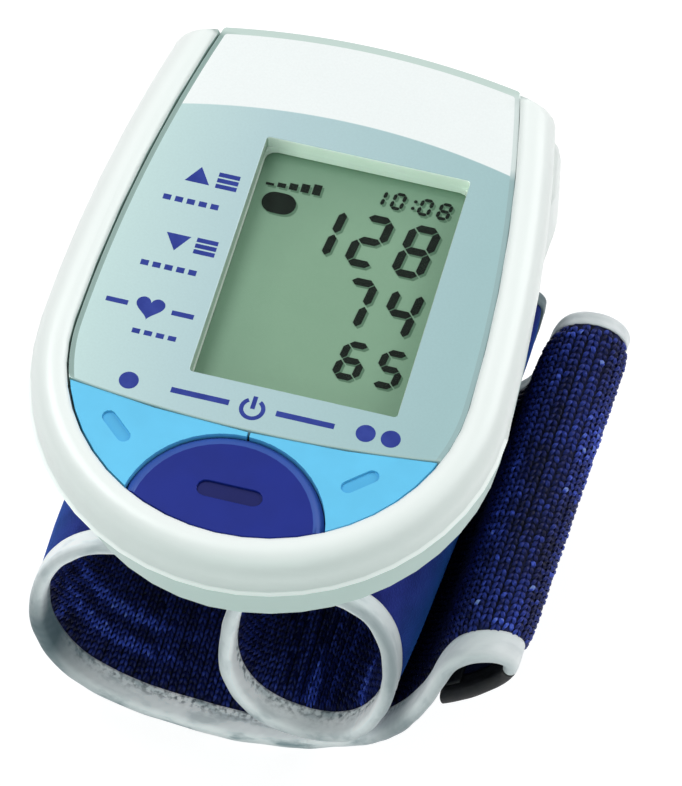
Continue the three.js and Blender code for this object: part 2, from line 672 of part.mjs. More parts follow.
function housingScrew() {
  const headTop = seatBottom - FIT;
  return join(
    rod(HEAD_RADIUS, [0, 0, headTop - HEAD_HEIGHT], [0, 0, headTop], SMALL_ROD_SIDES),
    rod(SCREW_RADIUS, [0, 0, headTop - HEAD_HEIGHT / 2], [0, 0, headTop + SCREW_LENGTH],
      SMALL_ROD_SIDES));
}

function plateScrew() {
  const { radius, head, headHeight } = PLATE_SCREW;
  return join(
    rod(head, [0, 0, floorTop + FIT], [0, 0, floorTop + FIT + headHeight], SMALL_ROD_SIDES),
    rod(radius, [0, 0, -CASE_DEPTH - FIT - PLATE / 2], [0, 0, floorTop + FIT + headHeight / 2],
      SMALL_ROD_SIDES));
}

// A cell along X with its positive nub on the right
function cell() {
  const half = CELL_LENGTH / 2;
  const points = [
    [0, -half], [cellRadius, -half], [cellRadius, half - CELL_NUB],
    [CELL_NUB_RADIUS, half - CELL_NUB], [CELL_NUB_RADIUS, half], [0, half],
  ].map(([radius, along]) => new THREE.Vector2(radius, along));
  return solid(new THREE.LatheGeometry(points, ROD_SIDES).rotateZ(-Math.PI / 2));
}

function contact(side, low, high) {
  const near = side * contactX;
  const far = side * (contactX + CONTACT);
  return block(
    [Math.min(near, far), cellY - CONTACT_WIDTH / 2, low],
    [Math.max(near, far), cellY + CONTACT_WIDTH / 2, high]);
}

function pumpHead() {
  const half = HEAD_SIZE / 2;
  const side = MOTOR_X + half;
  return join(
    block(
      [MOTOR_X - half, headFront, floorTop + FIT],
      [side, headFront + HEAD_LENGTH, floorTop + FIT + HEAD_SIZE]),
    rod(NIPPLE_RADIUS, [side - WALL, airY, airZ], [side + NIPPLE_LENGTH, airY, airZ],
      SMALL_ROD_SIDES));
}

function airManifold() {
  const half = MANIFOLD_SIZE / 2;
  const reach = half + NIPPLE_LENGTH;
  const body = block(
    [manifoldX - half, airY - half, airZ - half], [manifoldX + half, airY + half, airZ + half]);
  const through = rod(
    NIPPLE_RADIUS, [manifoldX - reach, airY, airZ], [manifoldX + reach, airY, airZ],
    SMALL_ROD_SIDES);
  const front = rod(
    NIPPLE_RADIUS, [manifoldX, airY - reach, airZ], [manifoldX, airY, airZ], SMALL_ROD_SIDES);
  return join(body, through, front);
}

function exhaustValve() {
  const half = VALVE.width / 2;
  return join(
    block(
      [manifoldX - half, valveRear - VALVE.length, floorTop + FIT],
      [manifoldX + half, valveRear, floorTop + FIT + VALVE.height]),
    rod(NIPPLE_RADIUS, [manifoldX, valveRear - WALL, airZ],
      [manifoldX, valveRear + NIPPLE_LENGTH, airZ], SMALL_ROD_SIDES));
}

// The sensor hangs from the board down to the air line
function pressureSensor() {
  const half = SENSOR.size / 2;
  return join(
    block(
      [sensorLeft, airY - half, airZ - SENSOR.drop],
      [sensorLeft + SENSOR.size, airY + half, boardBottom - FIT]),
    rod(NIPPLE_RADIUS, [sensorLeft - NIPPLE_LENGTH, airY, airZ],
      [sensorLeft + WALL, airY, airZ], SMALL_ROD_SIDES));
}

function cuffNozzle() {
  const top = airZ - MANIFOLD_SIZE / 2 - FIT;
  const low = strapZ + BLADDER / 2 + LAYER_GAP - faceZ;
  const flangeLow = floorTop + FIT;
  return cut(
    join(
      rod(NOZZLE_RADIUS, [manifoldX, airY, low], [manifoldX, airY, top], SMALL_ROD_SIDES),
      rod(NOZZLE_FLANGE_RADIUS, [manifoldX, airY, flangeLow],
        [manifoldX, airY, flangeLow + NOZZLE_FLANGE], SMALL_ROD_SIDES)),
    rod(NOZZLE_BORE, [manifoldX, airY, low - FIT], [manifoldX, airY, top + FIT], SMALL_ROD_SIDES));
}

piece(caseGroup, 'upper_housing', upperHousing(), whitePlastic);
piece(caseGroup, 'lower_housing', lowerHousing(), whitePlastic);
piece(caseGroup, 'battery_door', batteryDoor(), whitePlastic);
piece(caseGroup, 'display_lens', displayLens(), clearAcrylic);
piece(caseGroup, 'lcd_holder', lcdHolder(), paleFrame);
piece(caseGroup, 'lcd_panel', windowBlock(LCD_MARGIN, lcdBottom, lcdTop), displayGlass);
piece(caseGroup, 'lcd_strip_upper', lcdStrip(1), blackRubber);
piece(caseGroup, 'lcd_strip_lower', lcdStrip(-1), blackRubber);
piece(caseGroup, 'circuit_board', circuitBoard(), boardGreen);
piece(caseGroup, 'button_seal', buttonSeal(), blackRubber);

for (const key of keys) {
  const { name, x, y } = key;
  piece(caseGroup, `${name}_button`, buttonCap(key), name === 'start' ? deepBlueCap : skyBlueCap);
  piece(caseGroup, `${name}_switch`, tactSwitch(key), blackPart);
  const plunger = rod(PLUNGER_RADIUS, [x, y, plungerBottom], [x, y, plungerTop], SMALL_ROD_SIDES);
  piece(caseGroup, `${name}_plunger`, plunger, greyPart);
}

const chipY = bayFront - CHIP.back;
piece(caseGroup, 'controller_chip', block(
  [CHIP.x - CHIP.size / 2, chipY - CHIP.size / 2, boardBottom - FIT - CHIP.height],
  [CHIP.x + CHIP.size / 2, chipY + CHIP.size / 2, boardBottom - FIT]), blackPart);

bosses.forEach(([x, y], number) => {
  const screw = piece(caseGroup, `housing_screw_${number + 1}`, housingScrew(), plainSteel);
  screw.position.set(x, y, 0);
});

piece(caseGroup, 'battery_upper', cell(), cellWrap).position.set(0, cellY, upperCellZ);
const lowerCell = piece(caseGroup, 'battery_lower', cell(), cellWrap);
lowerCell.position.set(0, cellY, lowerCellZ);
lowerCell.rotation.z = Math.PI;
const halfContact = CONTACT_HEIGHT / 2;
const link = contact(-1, lowerCellZ - halfContact, upperCellZ + halfContact);
piece(caseGroup, 'battery_link', link, plainSteel);
for (const [name, z] of [['positive', upperCellZ], ['negative', lowerCellZ]]) {
  piece(caseGroup, `contact_${name}`, contact(1, z - halfContact, z + halfContact), plainSteel);
}

piece(caseGroup, 'pump_motor', rod(
  MOTOR_DIAMETER / 2, [MOTOR_X, motorY, airZ], [MOTOR_X, motorY + MOTOR_LENGTH, airZ]), plainSteel);
piece(caseGroup, 'pump_head', pumpHead(), blackPart);
piece(caseGroup, 'exhaust_valve', exhaustValve(), greyPart);
piece(caseGroup, 'pressure_sensor', pressureSensor(), blackPart);
piece(caseGroup, 'air_manifold', airManifold(), greyPart);
piece(caseGroup, 'cuff_nozzle', cuffNozzle(), greyPart);
piece(caseGroup, 'pump_tube', pipe(
  tubeRadius, tubeBore,
  [MOTOR_X + HEAD_SIZE / 2 + FIT, airY, airZ],
  [manifoldX - MANIFOLD_SIZE / 2 - FIT, airY, airZ]), clearSilicone);
piece(caseGroup, 'valve_tube', pipe(
  tubeRadius, tubeBore,
  [manifoldX, valveRear + FIT, airZ],
  [manifoldX, airY - MANIFOLD_SIZE / 2 - FIT, airZ]), clearSilicone);
piece(caseGroup, 'sensor_tube', pipe(
  tubeRadius, tubeBore,
  [manifoldX + MANIFOLD_SIZE / 2 + FIT, airY, airZ],
  [sensorLeft - FIT, airY, airZ]), clearSilicone);

// Plate that carries the cuff under the case, with screws from inside
function cuffMountPlate() {
  const holes = plateScrews.map(([x, y]) => rod(
    PLATE_SCREW.radius + FIT, [x, y, plateZ - FIT], [x, y, plateZ + PLATE + FIT], SMALL_ROD_SIDES));
  const nozzleHole = rod(
    NOZZLE_RADIUS + FIT, [manifoldX, airY, plateZ - FIT], [manifoldX, airY, plateZ + PLATE + FIT],
    SMALL_ROD_SIDES);
  return cut(
    block(
      [plateX - PLATE_WIDTH / 2, -PLATE_LENGTH / 2, plateZ],
      [plateX + PLATE_WIDTH / 2, PLATE_LENGTH / 2, plateZ + PLATE]),
    ...holes, nozzleHole);
}

piece(monitor, 'cuff_mount_plate', cuffMountPlate(), greyPart);
plateScrews.forEach(([x, y], number) => {
  const screw = piece(caseGroup, `plate_screw_${number + 1}`, plateScrew(), plainSteel);
  screw.position.set(x, y, 0);
});

// The cuff's route as stops with headings, at the front edge (flare 0) or the rear edge (flare 1):
// the rolled end opens wider towards the rear, and the tail stands higher there
function cuffRoute(flare) {
  const mix = (key, front, rear) => THREE.MathUtils.lerp(front[key], rear[key], flare);
  const lift = ({ x, z }, rise) => ({ x: x + flare * TAIL_FLARE.x, z: z + flare * rise });
  const bottom = (key) => mix(key, ROLL_BOTTOM_FRONT, ROLL_BOTTOM_REAR);
  const right = (key) => mix(key, ROLL_RIGHT_FRONT, ROLL_RIGHT_REAR);
  const top = (key) => mix(key, ROLL_TOP_FRONT, ROLL_TOP_REAR);
  return {
    rollEnd: { x: ROLL_END.x, z: strapZ - ROLL_END.drop, heading: ROLL_END.heading },
    rollLeft: { x: ROLL_LEFT.x, z: strapZ - ROLL_LEFT.drop, heading: -90 },
    rollBottom: { x: bottom('x'), z: bottom('z'), heading: 0 },
    rollRight: { x: right('x'), z: strapZ - right('drop'), heading: right('heading') },
    rollTop: { x: top('x'), z: strapZ - top('drop'), heading: top('heading') },
    strapRight: { x: STRAP_RIGHT, z: strapZ, heading: 180 },
    strapLeft: { x: STRAP_LEFT, z: strapZ, heading: 180 },
    loopLeft: { ...LOOP_LEFT, heading: 270 },
    flatLeft: { x: FLAT_LEFT, z: halfBand, heading: 360 },
    flatRight: { x: FLAT_RIGHT, z: halfBand, heading: 360 },
    hinge: { ...TAIL_HINGE, heading: TAIL_HINGE.heading + 360 },
    rise: { ...lift(TAIL_RISE, TAIL_FLARE.rise), heading: TAIL_RISE.heading + 360 },
    humpTop: { ...lift(HUMP_TOP, TAIL_FLARE.z), heading: 360 },
    humpRight: { ...lift(HUMP_RIGHT, TAIL_FLARE.z), heading: 270 },
    end: { ...lift(TAIL_END, TAIL_FLARE.z), heading: TAIL_END.heading + 360 },
  };
}

function aim({ heading }) {
  const angle = THREE.MathUtils.degToRad(heading);
  return new THREE.Vector3(Math.cos(angle), 0, Math.sin(angle));
}

// The curve from one stop to the next, bent as evenly as an arc
function bendBetween(from, to) {
  const start = new THREE.Vector3(from.x, 0, from.z);
  const finish = new THREE.Vector3(to.x, 0, to.z);
  const turn = Math.abs(THREE.MathUtils.degToRad(to.heading - from.heading));
  const share = turn > 0 ? ((2 / 3) * Math.tan(turn / 4)) / Math.sin(turn / 2) : 1 / 3;
  const reach = share * start.distanceTo(finish);
  return new THREE.CubicBezierCurve3(
    start, start.clone().addScaledVector(aim(from), reach),
    finish.clone().addScaledVector(aim(to), -reach), finish);
}

function turnBetween(from, to) {
  return Math.abs(to.heading - from.heading);
}

// Points along the route between two stops, each with the direction out of the cuff's outer face
function walk(first, last) {
  const edges = [cuffRoute(0), cuffRoute(1)];
  const names = Object.keys(edges[0]);
  const chosen = names.slice(names.indexOf(first), names.indexOf(last) + 1);
  const points = [];
  chosen.slice(1).forEach((name, number) => {
    const turns = edges.map((edge) => turnBetween(edge[chosen[number]], edge[name]));
    const steps = Math.max(1, Math.ceil(Math.max(...turns) / BEND_PER_STEP));
    const curves = edges.map((edge) => bendBetween(edge[chosen[number]], edge[name]));
    for (let step = number === 0 ? 0 : 1; step <= steps; step += 1) {
      points.push(curves.map((curve) => {
        const along = curve.getTangent(step / steps);
        return {
          place: curve.getPoint(step / steps),
          along,
          out: new THREE.Vector3(along.z, 0, -along.x),
        };
      }));
    }
  });
  return points;
}

// A section in width and height above the band's middle, carried along a walk
function sweep(points, section) {
  const count = section.length;
  const positions = points.flatMap(([front, rear]) => section.flatMap(([y, height]) => {
    const share = y / CUFF_WIDTH + 0.5;
    const out = front.out.clone().lerp(rear.out, share).normalize();
    const place = front.place.clone().lerp(rear.place, share).addScaledVector(out, height);
    return [place.x, y, place.z];
  }));
  const index = [];
  for (let level = 0; level < points.length - 1; level += 1) {
    for (let step = 0; step < count; step += 1) {
      const a = level * count + step;
      const b = level * count + (step + 1) % count;
      index.push(a, a + count, b + count, a, b + count, b);
    }
  }
  const last = (points.length - 1) * count;
  const plan = section.map(([y, height]) => new THREE.Vector2(y, height));
  for (const [a, b, c] of THREE.ShapeUtils.triangulateShape(plan, [])) {
    index.push(a, b, c, last + a, last + c, last + b);
  }
  const geometry = new THREE.BufferGeometry();
  geometry.setAttribute('position', new THREE.Float32BufferAttribute(positions, 3));
  geometry.setIndex(index);
  return solid(geometry);
}

// Moves one end of a walk along itself, to leave a gap there
function trim(points, at, distance) {
  const trimmed = [...points];
  const spot = at === 'start' ? 0 : points.length - 1;
  trimmed[spot] = points[spot].map((edge) => (
    { ...edge, place: edge.place.clone().addScaledVector(edge.along, distance) }));
  return trimmed;
}

// Fabric layers have a full middle and a thin tongue that goes into each tape
function fabricSection(side, flap) {
  const full = halfCuff - flap - FIT;
  const edge = halfCuff - TAPE - LAYER_GAP;
  const inner = side * (BLADDER / 2 + LAYER_GAP);
  const thin = side * tongue;
  const thick = side * halfBand;
  const points = [
    [-edge, inner], [edge, inner], [edge, thin], [full, thin],
    [full, thick], [-full, thick], [-full, thin], [-edge, thin],
  ];
  return side > 0 ? points : points.reverse();
}

// Tape folded over one long edge, with a wider flap on the lining side
function tapeSection(end) {
  const skin = halfBand - TAPE;
  const points = [
    [halfCuff - INNER_FLAP, -halfBand], [halfCuff, -halfBand], [halfCuff, halfBand],
    [halfCuff - OUTER_FLAP, halfBand], [halfCuff - OUTER_FLAP, skin], [halfCuff - TAPE, skin],
    [halfCuff - TAPE, -skin], [halfCuff - INNER_FLAP, -skin],
  ];
  if (end > 0) return points;
  return points.map(([y, height]) => [-y, height]).reverse();
}

function stripSection(width, low, high) {
  return [[-width / 2, low], [width / 2, low], [width / 2, high], [-width / 2, high]];
}

const bandWalk = trim(walk('rollEnd', 'hinge'), 'end', -FIT / 2);
const tailWalk = trim(walk('hinge', 'end'), 'start', FIT / 2);
const bladderHalf = BLADDER / 2;
const coverHole = rod(
  NOZZLE_RADIUS + FIT, [manifoldX, airY, strapZ], [manifoldX, airY, plateZ], SMALL_ROD_SIDES);

const cover = cut(sweep(bandWalk, fabricSection(1, OUTER_FLAP)), coverHole);
piece(monitor, 'cuff_cover', cover, navyVelour);
piece(monitor, 'cuff_lining', sweep(bandWalk, fabricSection(-1, INNER_FLAP)), navyKnit);
piece(monitor, 'air_bladder', sweep(
  walk('strapRight', 'flatRight'), stripSection(BLADDER_WIDTH, -bladderHalf, bladderHalf)), greyFilm);
piece(monitor, 'tail_cover', sweep(tailWalk, fabricSection(1, OUTER_FLAP)), navyVelour);
piece(monitor, 'tail_lining', sweep(tailWalk, fabricSection(-1, INNER_FLAP)), navyKnit);
for (const [name, end] of [['front', -1], ['rear', 1]]) {
  piece(monitor, `binding_${name}`, sweep(bandWalk, tapeSection(end)), greyTape);
  piece(monitor, `tail_binding_${name}`, sweep(tailWalk, tapeSection(end)), greyTape);
}

const hookLow = -halfBand - LAYER_GAP - HOOK;
piece(monitor, 'hook_patch', sweep(
  walk('humpRight', 'end'), stripSection(HOOK_WIDTH, hookLow, -halfBand - LAYER_GAP)), greyFilm);

export default monitor;
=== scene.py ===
"""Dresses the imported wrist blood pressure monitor: case, display, keys, padded cuff and studio."""

import math

import bmesh
import bpy
import numpy as np
from bpy.props import FloatProperty, FloatVectorProperty, PointerProperty
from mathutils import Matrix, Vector, noise


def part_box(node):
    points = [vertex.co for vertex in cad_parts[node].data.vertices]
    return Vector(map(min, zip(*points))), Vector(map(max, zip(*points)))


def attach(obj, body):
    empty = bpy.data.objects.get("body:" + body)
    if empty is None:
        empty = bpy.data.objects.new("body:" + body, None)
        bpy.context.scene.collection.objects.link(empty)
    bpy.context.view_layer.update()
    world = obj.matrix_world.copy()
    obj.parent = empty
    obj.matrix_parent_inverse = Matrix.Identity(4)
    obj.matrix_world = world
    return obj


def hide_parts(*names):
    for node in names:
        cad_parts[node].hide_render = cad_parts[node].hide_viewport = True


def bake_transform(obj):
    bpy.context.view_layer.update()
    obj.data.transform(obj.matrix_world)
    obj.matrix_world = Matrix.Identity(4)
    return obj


bl_info = {
    "name": "Wrist Pressure Monitor",
    "version": (1, 0, 0),
    "blender": (4, 5, 0),
    "location": "View3D > Sidebar > Monitor",
    "description": "Dresses the packed frame of a wrist blood pressure monitor",
    "category": "Object",
}

MM = 0.001
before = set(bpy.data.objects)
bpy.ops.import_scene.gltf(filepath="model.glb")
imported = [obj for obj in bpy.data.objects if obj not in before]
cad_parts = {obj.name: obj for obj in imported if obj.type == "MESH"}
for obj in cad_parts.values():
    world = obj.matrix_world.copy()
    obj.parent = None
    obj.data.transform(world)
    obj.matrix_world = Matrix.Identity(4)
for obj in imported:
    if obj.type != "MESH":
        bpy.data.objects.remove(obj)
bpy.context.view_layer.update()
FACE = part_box("display_lens")[1].z
LENS_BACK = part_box("display_lens")[0].z
DISPLAY_LOW, DISPLAY_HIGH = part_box("lcd_panel")


def linear(code):
    """Turn an sRGB hex colour into linear RGBA."""
    parts = [int(code[at:at + 2], 16) / 255 for at in (1, 3, 5)]
    return [c / 12.92 if c <= 0.04045 else ((c + 0.055) / 1.055) ** 2.4 for c in parts] + [1.0]


def length(name, text, size):
    """A length property, its default given in millimetres."""
    return FloatProperty(name=name, description=text, default=size * MM, unit="LENGTH", precision=5)


def colour(name, text, code):
    """A colour property, its default given as sRGB hex."""
    return FloatVectorProperty(
        name=name, description=text, default=linear(code), size=4, subtype="COLOR", min=0, max=1)


class CaseSizes(bpy.types.PropertyGroup):
    """Plan of the case and what lies in its face."""

    round_radius: length("Round radius", "Radius of the opening's round end", 28.6)
    round_y: length("Round centre", "Where the round end is centred along the case", -11.3)
    top_y: length("Top end", "Where the case ends at the top", 45.1)
    side_radius: length("Side radius", "Radius of the long bowed sides", 235)
    top_radius: length("Top radius", "Radius of the bowed top end", 114)
    corner_radius: length("Corner radius", "Radius of the lens's two top corners", 0.6)
    lens_gap: length("Lens gap", "Clearance round the lens", 0.07)
    lens_left: length("Lens left gap", "Extra gap along the lens's left side", 0.22)
    lens_drop: length("Lens drop", "How far the lens lies below the rim's inner edge", 0.08)
    lens_edge_y: length("Lens edge", "Where the lens ends above the keys", -22.62)
    lens_edge_radius: length("Lens edge radius", "Radius of the lens's lower edge", 185)
    clear_edge: length("Clear edge", "Unprinted width along the lens's sides", 0.75)
    clear_top: length("Clear top", "Unprinted width along the lens's top end", 1.2)
    window_margin: length("Window margin", "How far the window stays inside the display", 1.2)
    window_radius: length("Window corner", "Radius of the window's corners", 0.5)
    edge_round: length("Edge rounding", "Rounding on the moulded edges", 0.35)
    start_y: length("Start key centre", "Where the round start key is centred", -38.1)
    start_radius: length("Start key radius", "Radius of the round start key", 14.2)
    start_slope: length("Start key slope", "Width of the slope round the start key", 1.3)
    bay_round: length("Bay rounding", "Height of the rounding on top of the bay's sides", 2.8)
    bay_step: length("Bay step", "How far the bay's sides stand out past the rim", 1.3)
    bay_taper: length("Bay taper", "Length over which the bay's sides run out to the front", 7)
    key_flare: length("Start key flare", "How far the start key's round side fills the gap", 0.28)
    recess_shift: length("Recess shift", "How far the left key's recess lies to the left", 1.2)
    belly_draft: length("Belly draft", "How far the case draws in under its left side", 2.2)
    seam_lip: length("Seam lip", "How far the upper housing flares out at the seam", 0.45)


class CuffSizes(bpy.types.PropertyGroup):
    """The padded band, its knit and its tapes."""

    width: length("Width", "Width of the band across the arm", 59)
    half: length("Half thickness", "Half the thickness of the band", 1.5)
    edge_half: length(
        "Edge half thickness", "Half the thickness where the tape holds the edge", 1.1)
    cover_flap: length("Cover flap", "Tape width on the velour side", 3.4)
    rear_flap: length("Rear cover flap", "Tape width on the velour side at the rear", 2)
    lining_flap: length("Lining flap", "Tape width on the knit side", 4.4)
    rear_lining: length("Rear lining flap", "Tape width on the knit side at the rear", 2.4)
    tape: length("Tape thickness", "Thickness of the binding tape", 0.35)
    rib_pitch: length("Rib pitch", "Distance between the knit's ribs", 1.4)
    rib_height: length("Rib height", "Height of the knit's ribs", 0.3)
    loop_pitch: length("Loop pitch", "Distance between the stitches in a rib", 1.05)
    loop_height: length("Loop height", "How far the stitches stand up", 0.4)
    yarn_radius: length("Yarn radius", "Radius of the knit's yarn", 0.235)
    grid: length("Cloth grid", "Size of the cloth's faces", 0.55)


class Finishes(bpy.types.PropertyGroup):
    """Colours of the visible finishes."""

    shell: colour("Shell", "Moulded case", "#F4F9F7")
    # Painted shade: the lower housing's front, greener and darker than the shell
    belly_shade: colour("Belly", "Lower part of the case", "#CDE0DB")
    # Painted light and shade: the printed field lighter at the left, darker to the right
    panel: colour("Panel", "Printed field of the lens, lit side", "#B3CED3")
    panel_lit: colour("Panel near side", "Printed field at the left", "#C5DFDD")
    panel_shaded: colour("Panel far side", "Printed field of the lens, far side", "#A1C2C5")
    header: colour("Header", "White field at the lens's top end", "#F3F7F7")
    # Painted shade on the wall in the gap beside the lens
    gap: colour("Gap", "Wall in the gap along the lens's left side", "#B4CCC6")
    # The clear rim's colours are painted shade and light seen through it
    edge: colour("Clear edge", "Clear rim of the lens", "#93AAA5")
    edge_far_shade: colour("Clear edge far side", "Clear rim on the far side", "#9FBABC")
    edge_low: colour("Clear edge by the keys", "Clear rim above the keys", "#B2C9C4")
    edge_header: colour("Clear edge header", "Clear rim beside the header", "#DDE6E5")
    edge_top: colour("Clear top", "Clear strip at the lens's top end", "#C9DAD4")
    well_shade: colour("Well shade", "Frame's left wall, away from the light", "#A9C0B0")
    well: colour("Well", "Frame inside the window", "#ECF9EE")
    glass: colour("Display", "Display glass", "#82A78B")
    glass_shade: colour("Display shade", "Display glass near the frame", "#6E9179")
    segment: colour("Segments", "Dark display segments", "#0B110D")
    ghost: colour("Segment shade", "Soft shade that segments cast on the reflector", "#63866D")
    ink: colour("Ink", "Printed marks", "#2B3A8F")
    sky: colour("Side keys", "Memory keys", "#6ACBF6")
    # Painted shade in the memory keys' finger recess
    sky_recess_shade: colour("Side key recess", "Finger recess of the memory keys", "#57B6E6")
    deep: colour("Start key", "Start key", "#16298A")
    # Painted shade in the start key's recess, painted light on its slope
    deep_recess_shade: colour("Start recess", "Finger recess of the start key", "#111A62")
    deep_slope_lit: colour("Start slope", "Slope round the start key", "#3C5BAC")
    velour: colour("Velour", "Cuff's outer cloth", "#191C62")
    velour_light: colour("Velour nap", "Raised nap of the outer cloth", "#2A3088")
    knit: colour("Knit", "Cuff's ribbed lining", "#111A56")
    # Painted light on the knit: lit crests, soft creases and glints; the ground below is also
    # painted shade in the grooves
    knit_lit_crest: colour("Knit crest", "Crests of the knit's stitches", "#293A96")
    knit_lit_streak: colour("Knit streak", "Yarn on the soft creases", "#465EDA")
    knit_painted_glint: colour("Knit glint", "Yarn that catches the light", "#8DA4DC")
    knit_dark: colour("Knit ground", "Ground between the ribs", "#06081F")
    tape: colour("Tape", "Binding tape", "#E4E9EB")
    # Also painted light on the tape's inner flap
    tape_bright_and_lit: colour("Tape light", "Bright threads in the tape", "#F8F9FA")
    tape_dark: colour("Tape dark", "Dull patches in the tape", "#8A9BA1")
    # Painted shade where the tape bends round, folds over and runs along the tail
    tape_shade: colour("Tape worn", "Tape rubbed dull where it bends round", "#4C5E64")
    tape_fleck: colour("Tape fleck", "Dark flecks along the tape's sewn edge", "#434F57")


class StudioSizes(bpy.types.PropertyGroup):
    """Camera and floor."""

    focal: FloatProperty(name="Focal length", description="Lens of the camera in mm", default=292)
    eye: FloatVectorProperty(
        name="Eye", description="Where the camera stands", subtype="XYZ", unit="LENGTH",
        default=(0.1347, -0.4743, 0.8254))
    aim: FloatVectorProperty(
        name="Aim", description="What the camera looks at", subtype="XYZ", unit="LENGTH",
        default=(0.01067, -0.0134, 0.0757))
    floor: colour("Floor", "Pale floor", "#F2F4F4")


# Finishes

made = {}


def add_node(material, kind, inputs=None, give=0, **settings):
    """Add one shader node with its settings, set or link its inputs, and give one output."""
    tree = material.node_tree
    node = tree.nodes.new(f"ShaderNode{kind}")
    for name, value in settings.items():
        setattr(node, name, value)
    for name, value in (inputs or {}).items():
        if isinstance(value, bpy.types.NodeSocket):
            tree.links.new(value, node.inputs[name])
        else:
            node.inputs[name].default_value = value
    return node.outputs[give]


def finish(name, **shader):
    """A new material whose shader has these plain values; returns it with its shader node."""
    material = bpy.data.materials.new(name)
    material.use_nodes = True
    node = material.node_tree.nodes["Principled BSDF"]
    for key, value in shader.items():
        node.inputs[key.replace("_", " ")].default_value = value
    made[name] = material
    return material, node


def link(node, name, socket):
    """Link an output to one of a node's inputs."""
    node.id_data.links.new(socket, node.inputs[name])


def dim(tone, share):
    """A colour at a share of its brightness."""
    return [channel * share for channel in tone[:3]] + [1]


def axes(material):
    """The X, Y and Z outputs of the object's own coordinates."""
    where = add_node(material, "TexCoord", give="Object")
    return add_node(material, "SeparateXYZ", {"Vector": where}).node.outputs


def grain(material, size, detail=3):
    """Noise whose features are about this size in metres."""
    where = add_node(material, "TexCoord", give="Object")
    return add_node(
        material, "TexNoise", {"Vector": where, "Scale": 1 / size, "Detail": detail}, give="Fac")


def fade(material, value, span, before, after, most=1):
    """Change from one colour to another while a value runs over a span."""
    share = add_node(
        material, "MapRange",
        {"Value": value, "From Min": span[0], "From Max": span[1], "To Max": most})
    return add_node(
        material, "Mix", {"Factor": share, 6: before, 7: after}, give=2, data_type="RGBA")


def speckle(material, tone, size, detail, spread):
    """Lighten and darken a colour by this share with fine noise."""
    level = add_node(
        material, "MapRange",
        {"Value": grain(material, size, detail), "To Min": 1 - spread, "To Max": 1 + spread})
    return add_node(material, "VectorMath", {0: tone, "Scale": level}, operation="SCALE")


def mottle(material, shader, low, high, size, span=(0.35, 0.65)):
    """Vary the base colour between two colours with noise of this size."""
    tone = fade(material, grain(material, size), span, low, high)
    link(shader, "Base Color", tone)
    return tone


def roughen(material, shader, size, height):
    """Bump from noise of this size and height, both in metres."""
    link(shader, "Normal", add_node(
        material, "Bump", {"Height": grain(material, size), "Distance": height}))


def rub(material, shader, low, high, size):
    """Vary the roughness with noise of this size."""
    link(shader, "Roughness", add_node(
        material, "MapRange",
        {"Value": grain(material, size), "From Min": 0.3, "From Max": 0.7,
         "To Min": low, "To Max": high}))


def toned(name, low, high, patch, gloss, rubbed, **shader):
    """A finish in two close tones, with patches and uneven gloss of these sizes in millimetres."""
    material, node = finish(name, **shader)
    mottle(material, node, low, high, patch * MM)
    rub(material, node, *gloss, rubbed * MM)
    return material, node


def white_abs(colours):
    # Injection-moulded ABS: bright, evenly lit white with a broad soft highlight; the lower
    # housing's front is painted a shade greener and darker, as painted shade, so that the seam reads
    # as a step in tone; the thin lip along the seam glows a little, a painted highlight that draws a
    # bright line there; and the wall in the gap beside the lens is painted darker, as shade in the
    # gap
    for name, tone, glow in (
            ("white_abs", colours.shell, 0), ("belly_shade_abs", colours.belly_shade, 0),
            ("lip_highlight_abs", colours.shell, 0.22), ("gap_shade_abs", colours.gap, 0)):
        toned(name, dim(tone, 0.985), tone, 14, (0.3, 0.36), 9,
              IOR=1.5, Emission_Color=tone, Emission_Strength=glow)


def lens_print(colours):
    # Acrylic with a silvery print on its back: a cool field, painted lighter at the left and darker
    # to the right as light and shade fall across it, under a clear gloss, and a white header above a
    # bowed line
    material, node = finish(
        "printed_acrylic", IOR=1.49, Coat_Weight=0.6, Coat_Roughness=0.06, Roughness=0.5)
    where = add_node(material, "TexCoord", give="Object")
    side = add_node(
        material, "MapRange",
        {"Value": add_node(material, "SeparateXYZ", {"Vector": where}, give="X"),
         "From Min": -30 * MM, "From Max": 25 * MM})
    field = add_node(material, "ValToRGB", {"Fac": side})
    stops = field.node.color_ramp.elements
    stops[0].color, stops[1].color = colours.panel_lit, colours.panel_shaded
    stops.new(0.36).color = colours.panel
    flat = add_node(material, "Mapping", {"Vector": where, "Scale": (1, 1, 0)})
    bow = add_node(
        material, "VectorMath", {0: flat, 1: (0, -67.7 * MM, 0)}, give="Value",
        operation="DISTANCE")
    face = fade(material, bow, (98.95 * MM, 99.1 * MM), field, colours.header)
    # Fine metal flake in the silver ink, drawn at a third of a millimetre so that it shows
    link(node, "Base Color", speckle(material, face, 0.33 * MM, 1, 0.04))
    rub(material, node, 0.38, 0.5, 8 * MM)


def clear_edge(colours):
    # Polished edge of the acrylic, its colours painted with the light and shade seen through it:
    # painted shade in dull green where it looks into the gap on the left, lighter painted shade on
    # the right, and pale at the top end, painted as daylight coming through
    material, node = finish("clear_acrylic_edge", IOR=1.49, Coat_Weight=0.3, Coat_Roughness=0.05)
    spot = axes(material)
    far = add_node(
        material, "MapRange", {"Value": spot["X"], "From Min": -20 * MM, "From Max": 20 * MM})
    tone = add_node(
        material, "Mix", {"Factor": far, 6: colours.edge, 7: colours.edge_far_shade}, give=2,
        data_type="RGBA")
    for low, high, most, pale in (
            (-20, -21, 1, colours.edge_low), (27.5, 29.5, far, colours.edge_header),
            (41.2, 42.4, 1, colours.edge_top)):
        tone = fade(material, spot["Y"], (low * MM, high * MM), tone, pale, most)
    link(node, "Base Color", tone)
    rub(material, node, 0.1, 0.18, 5 * MM)


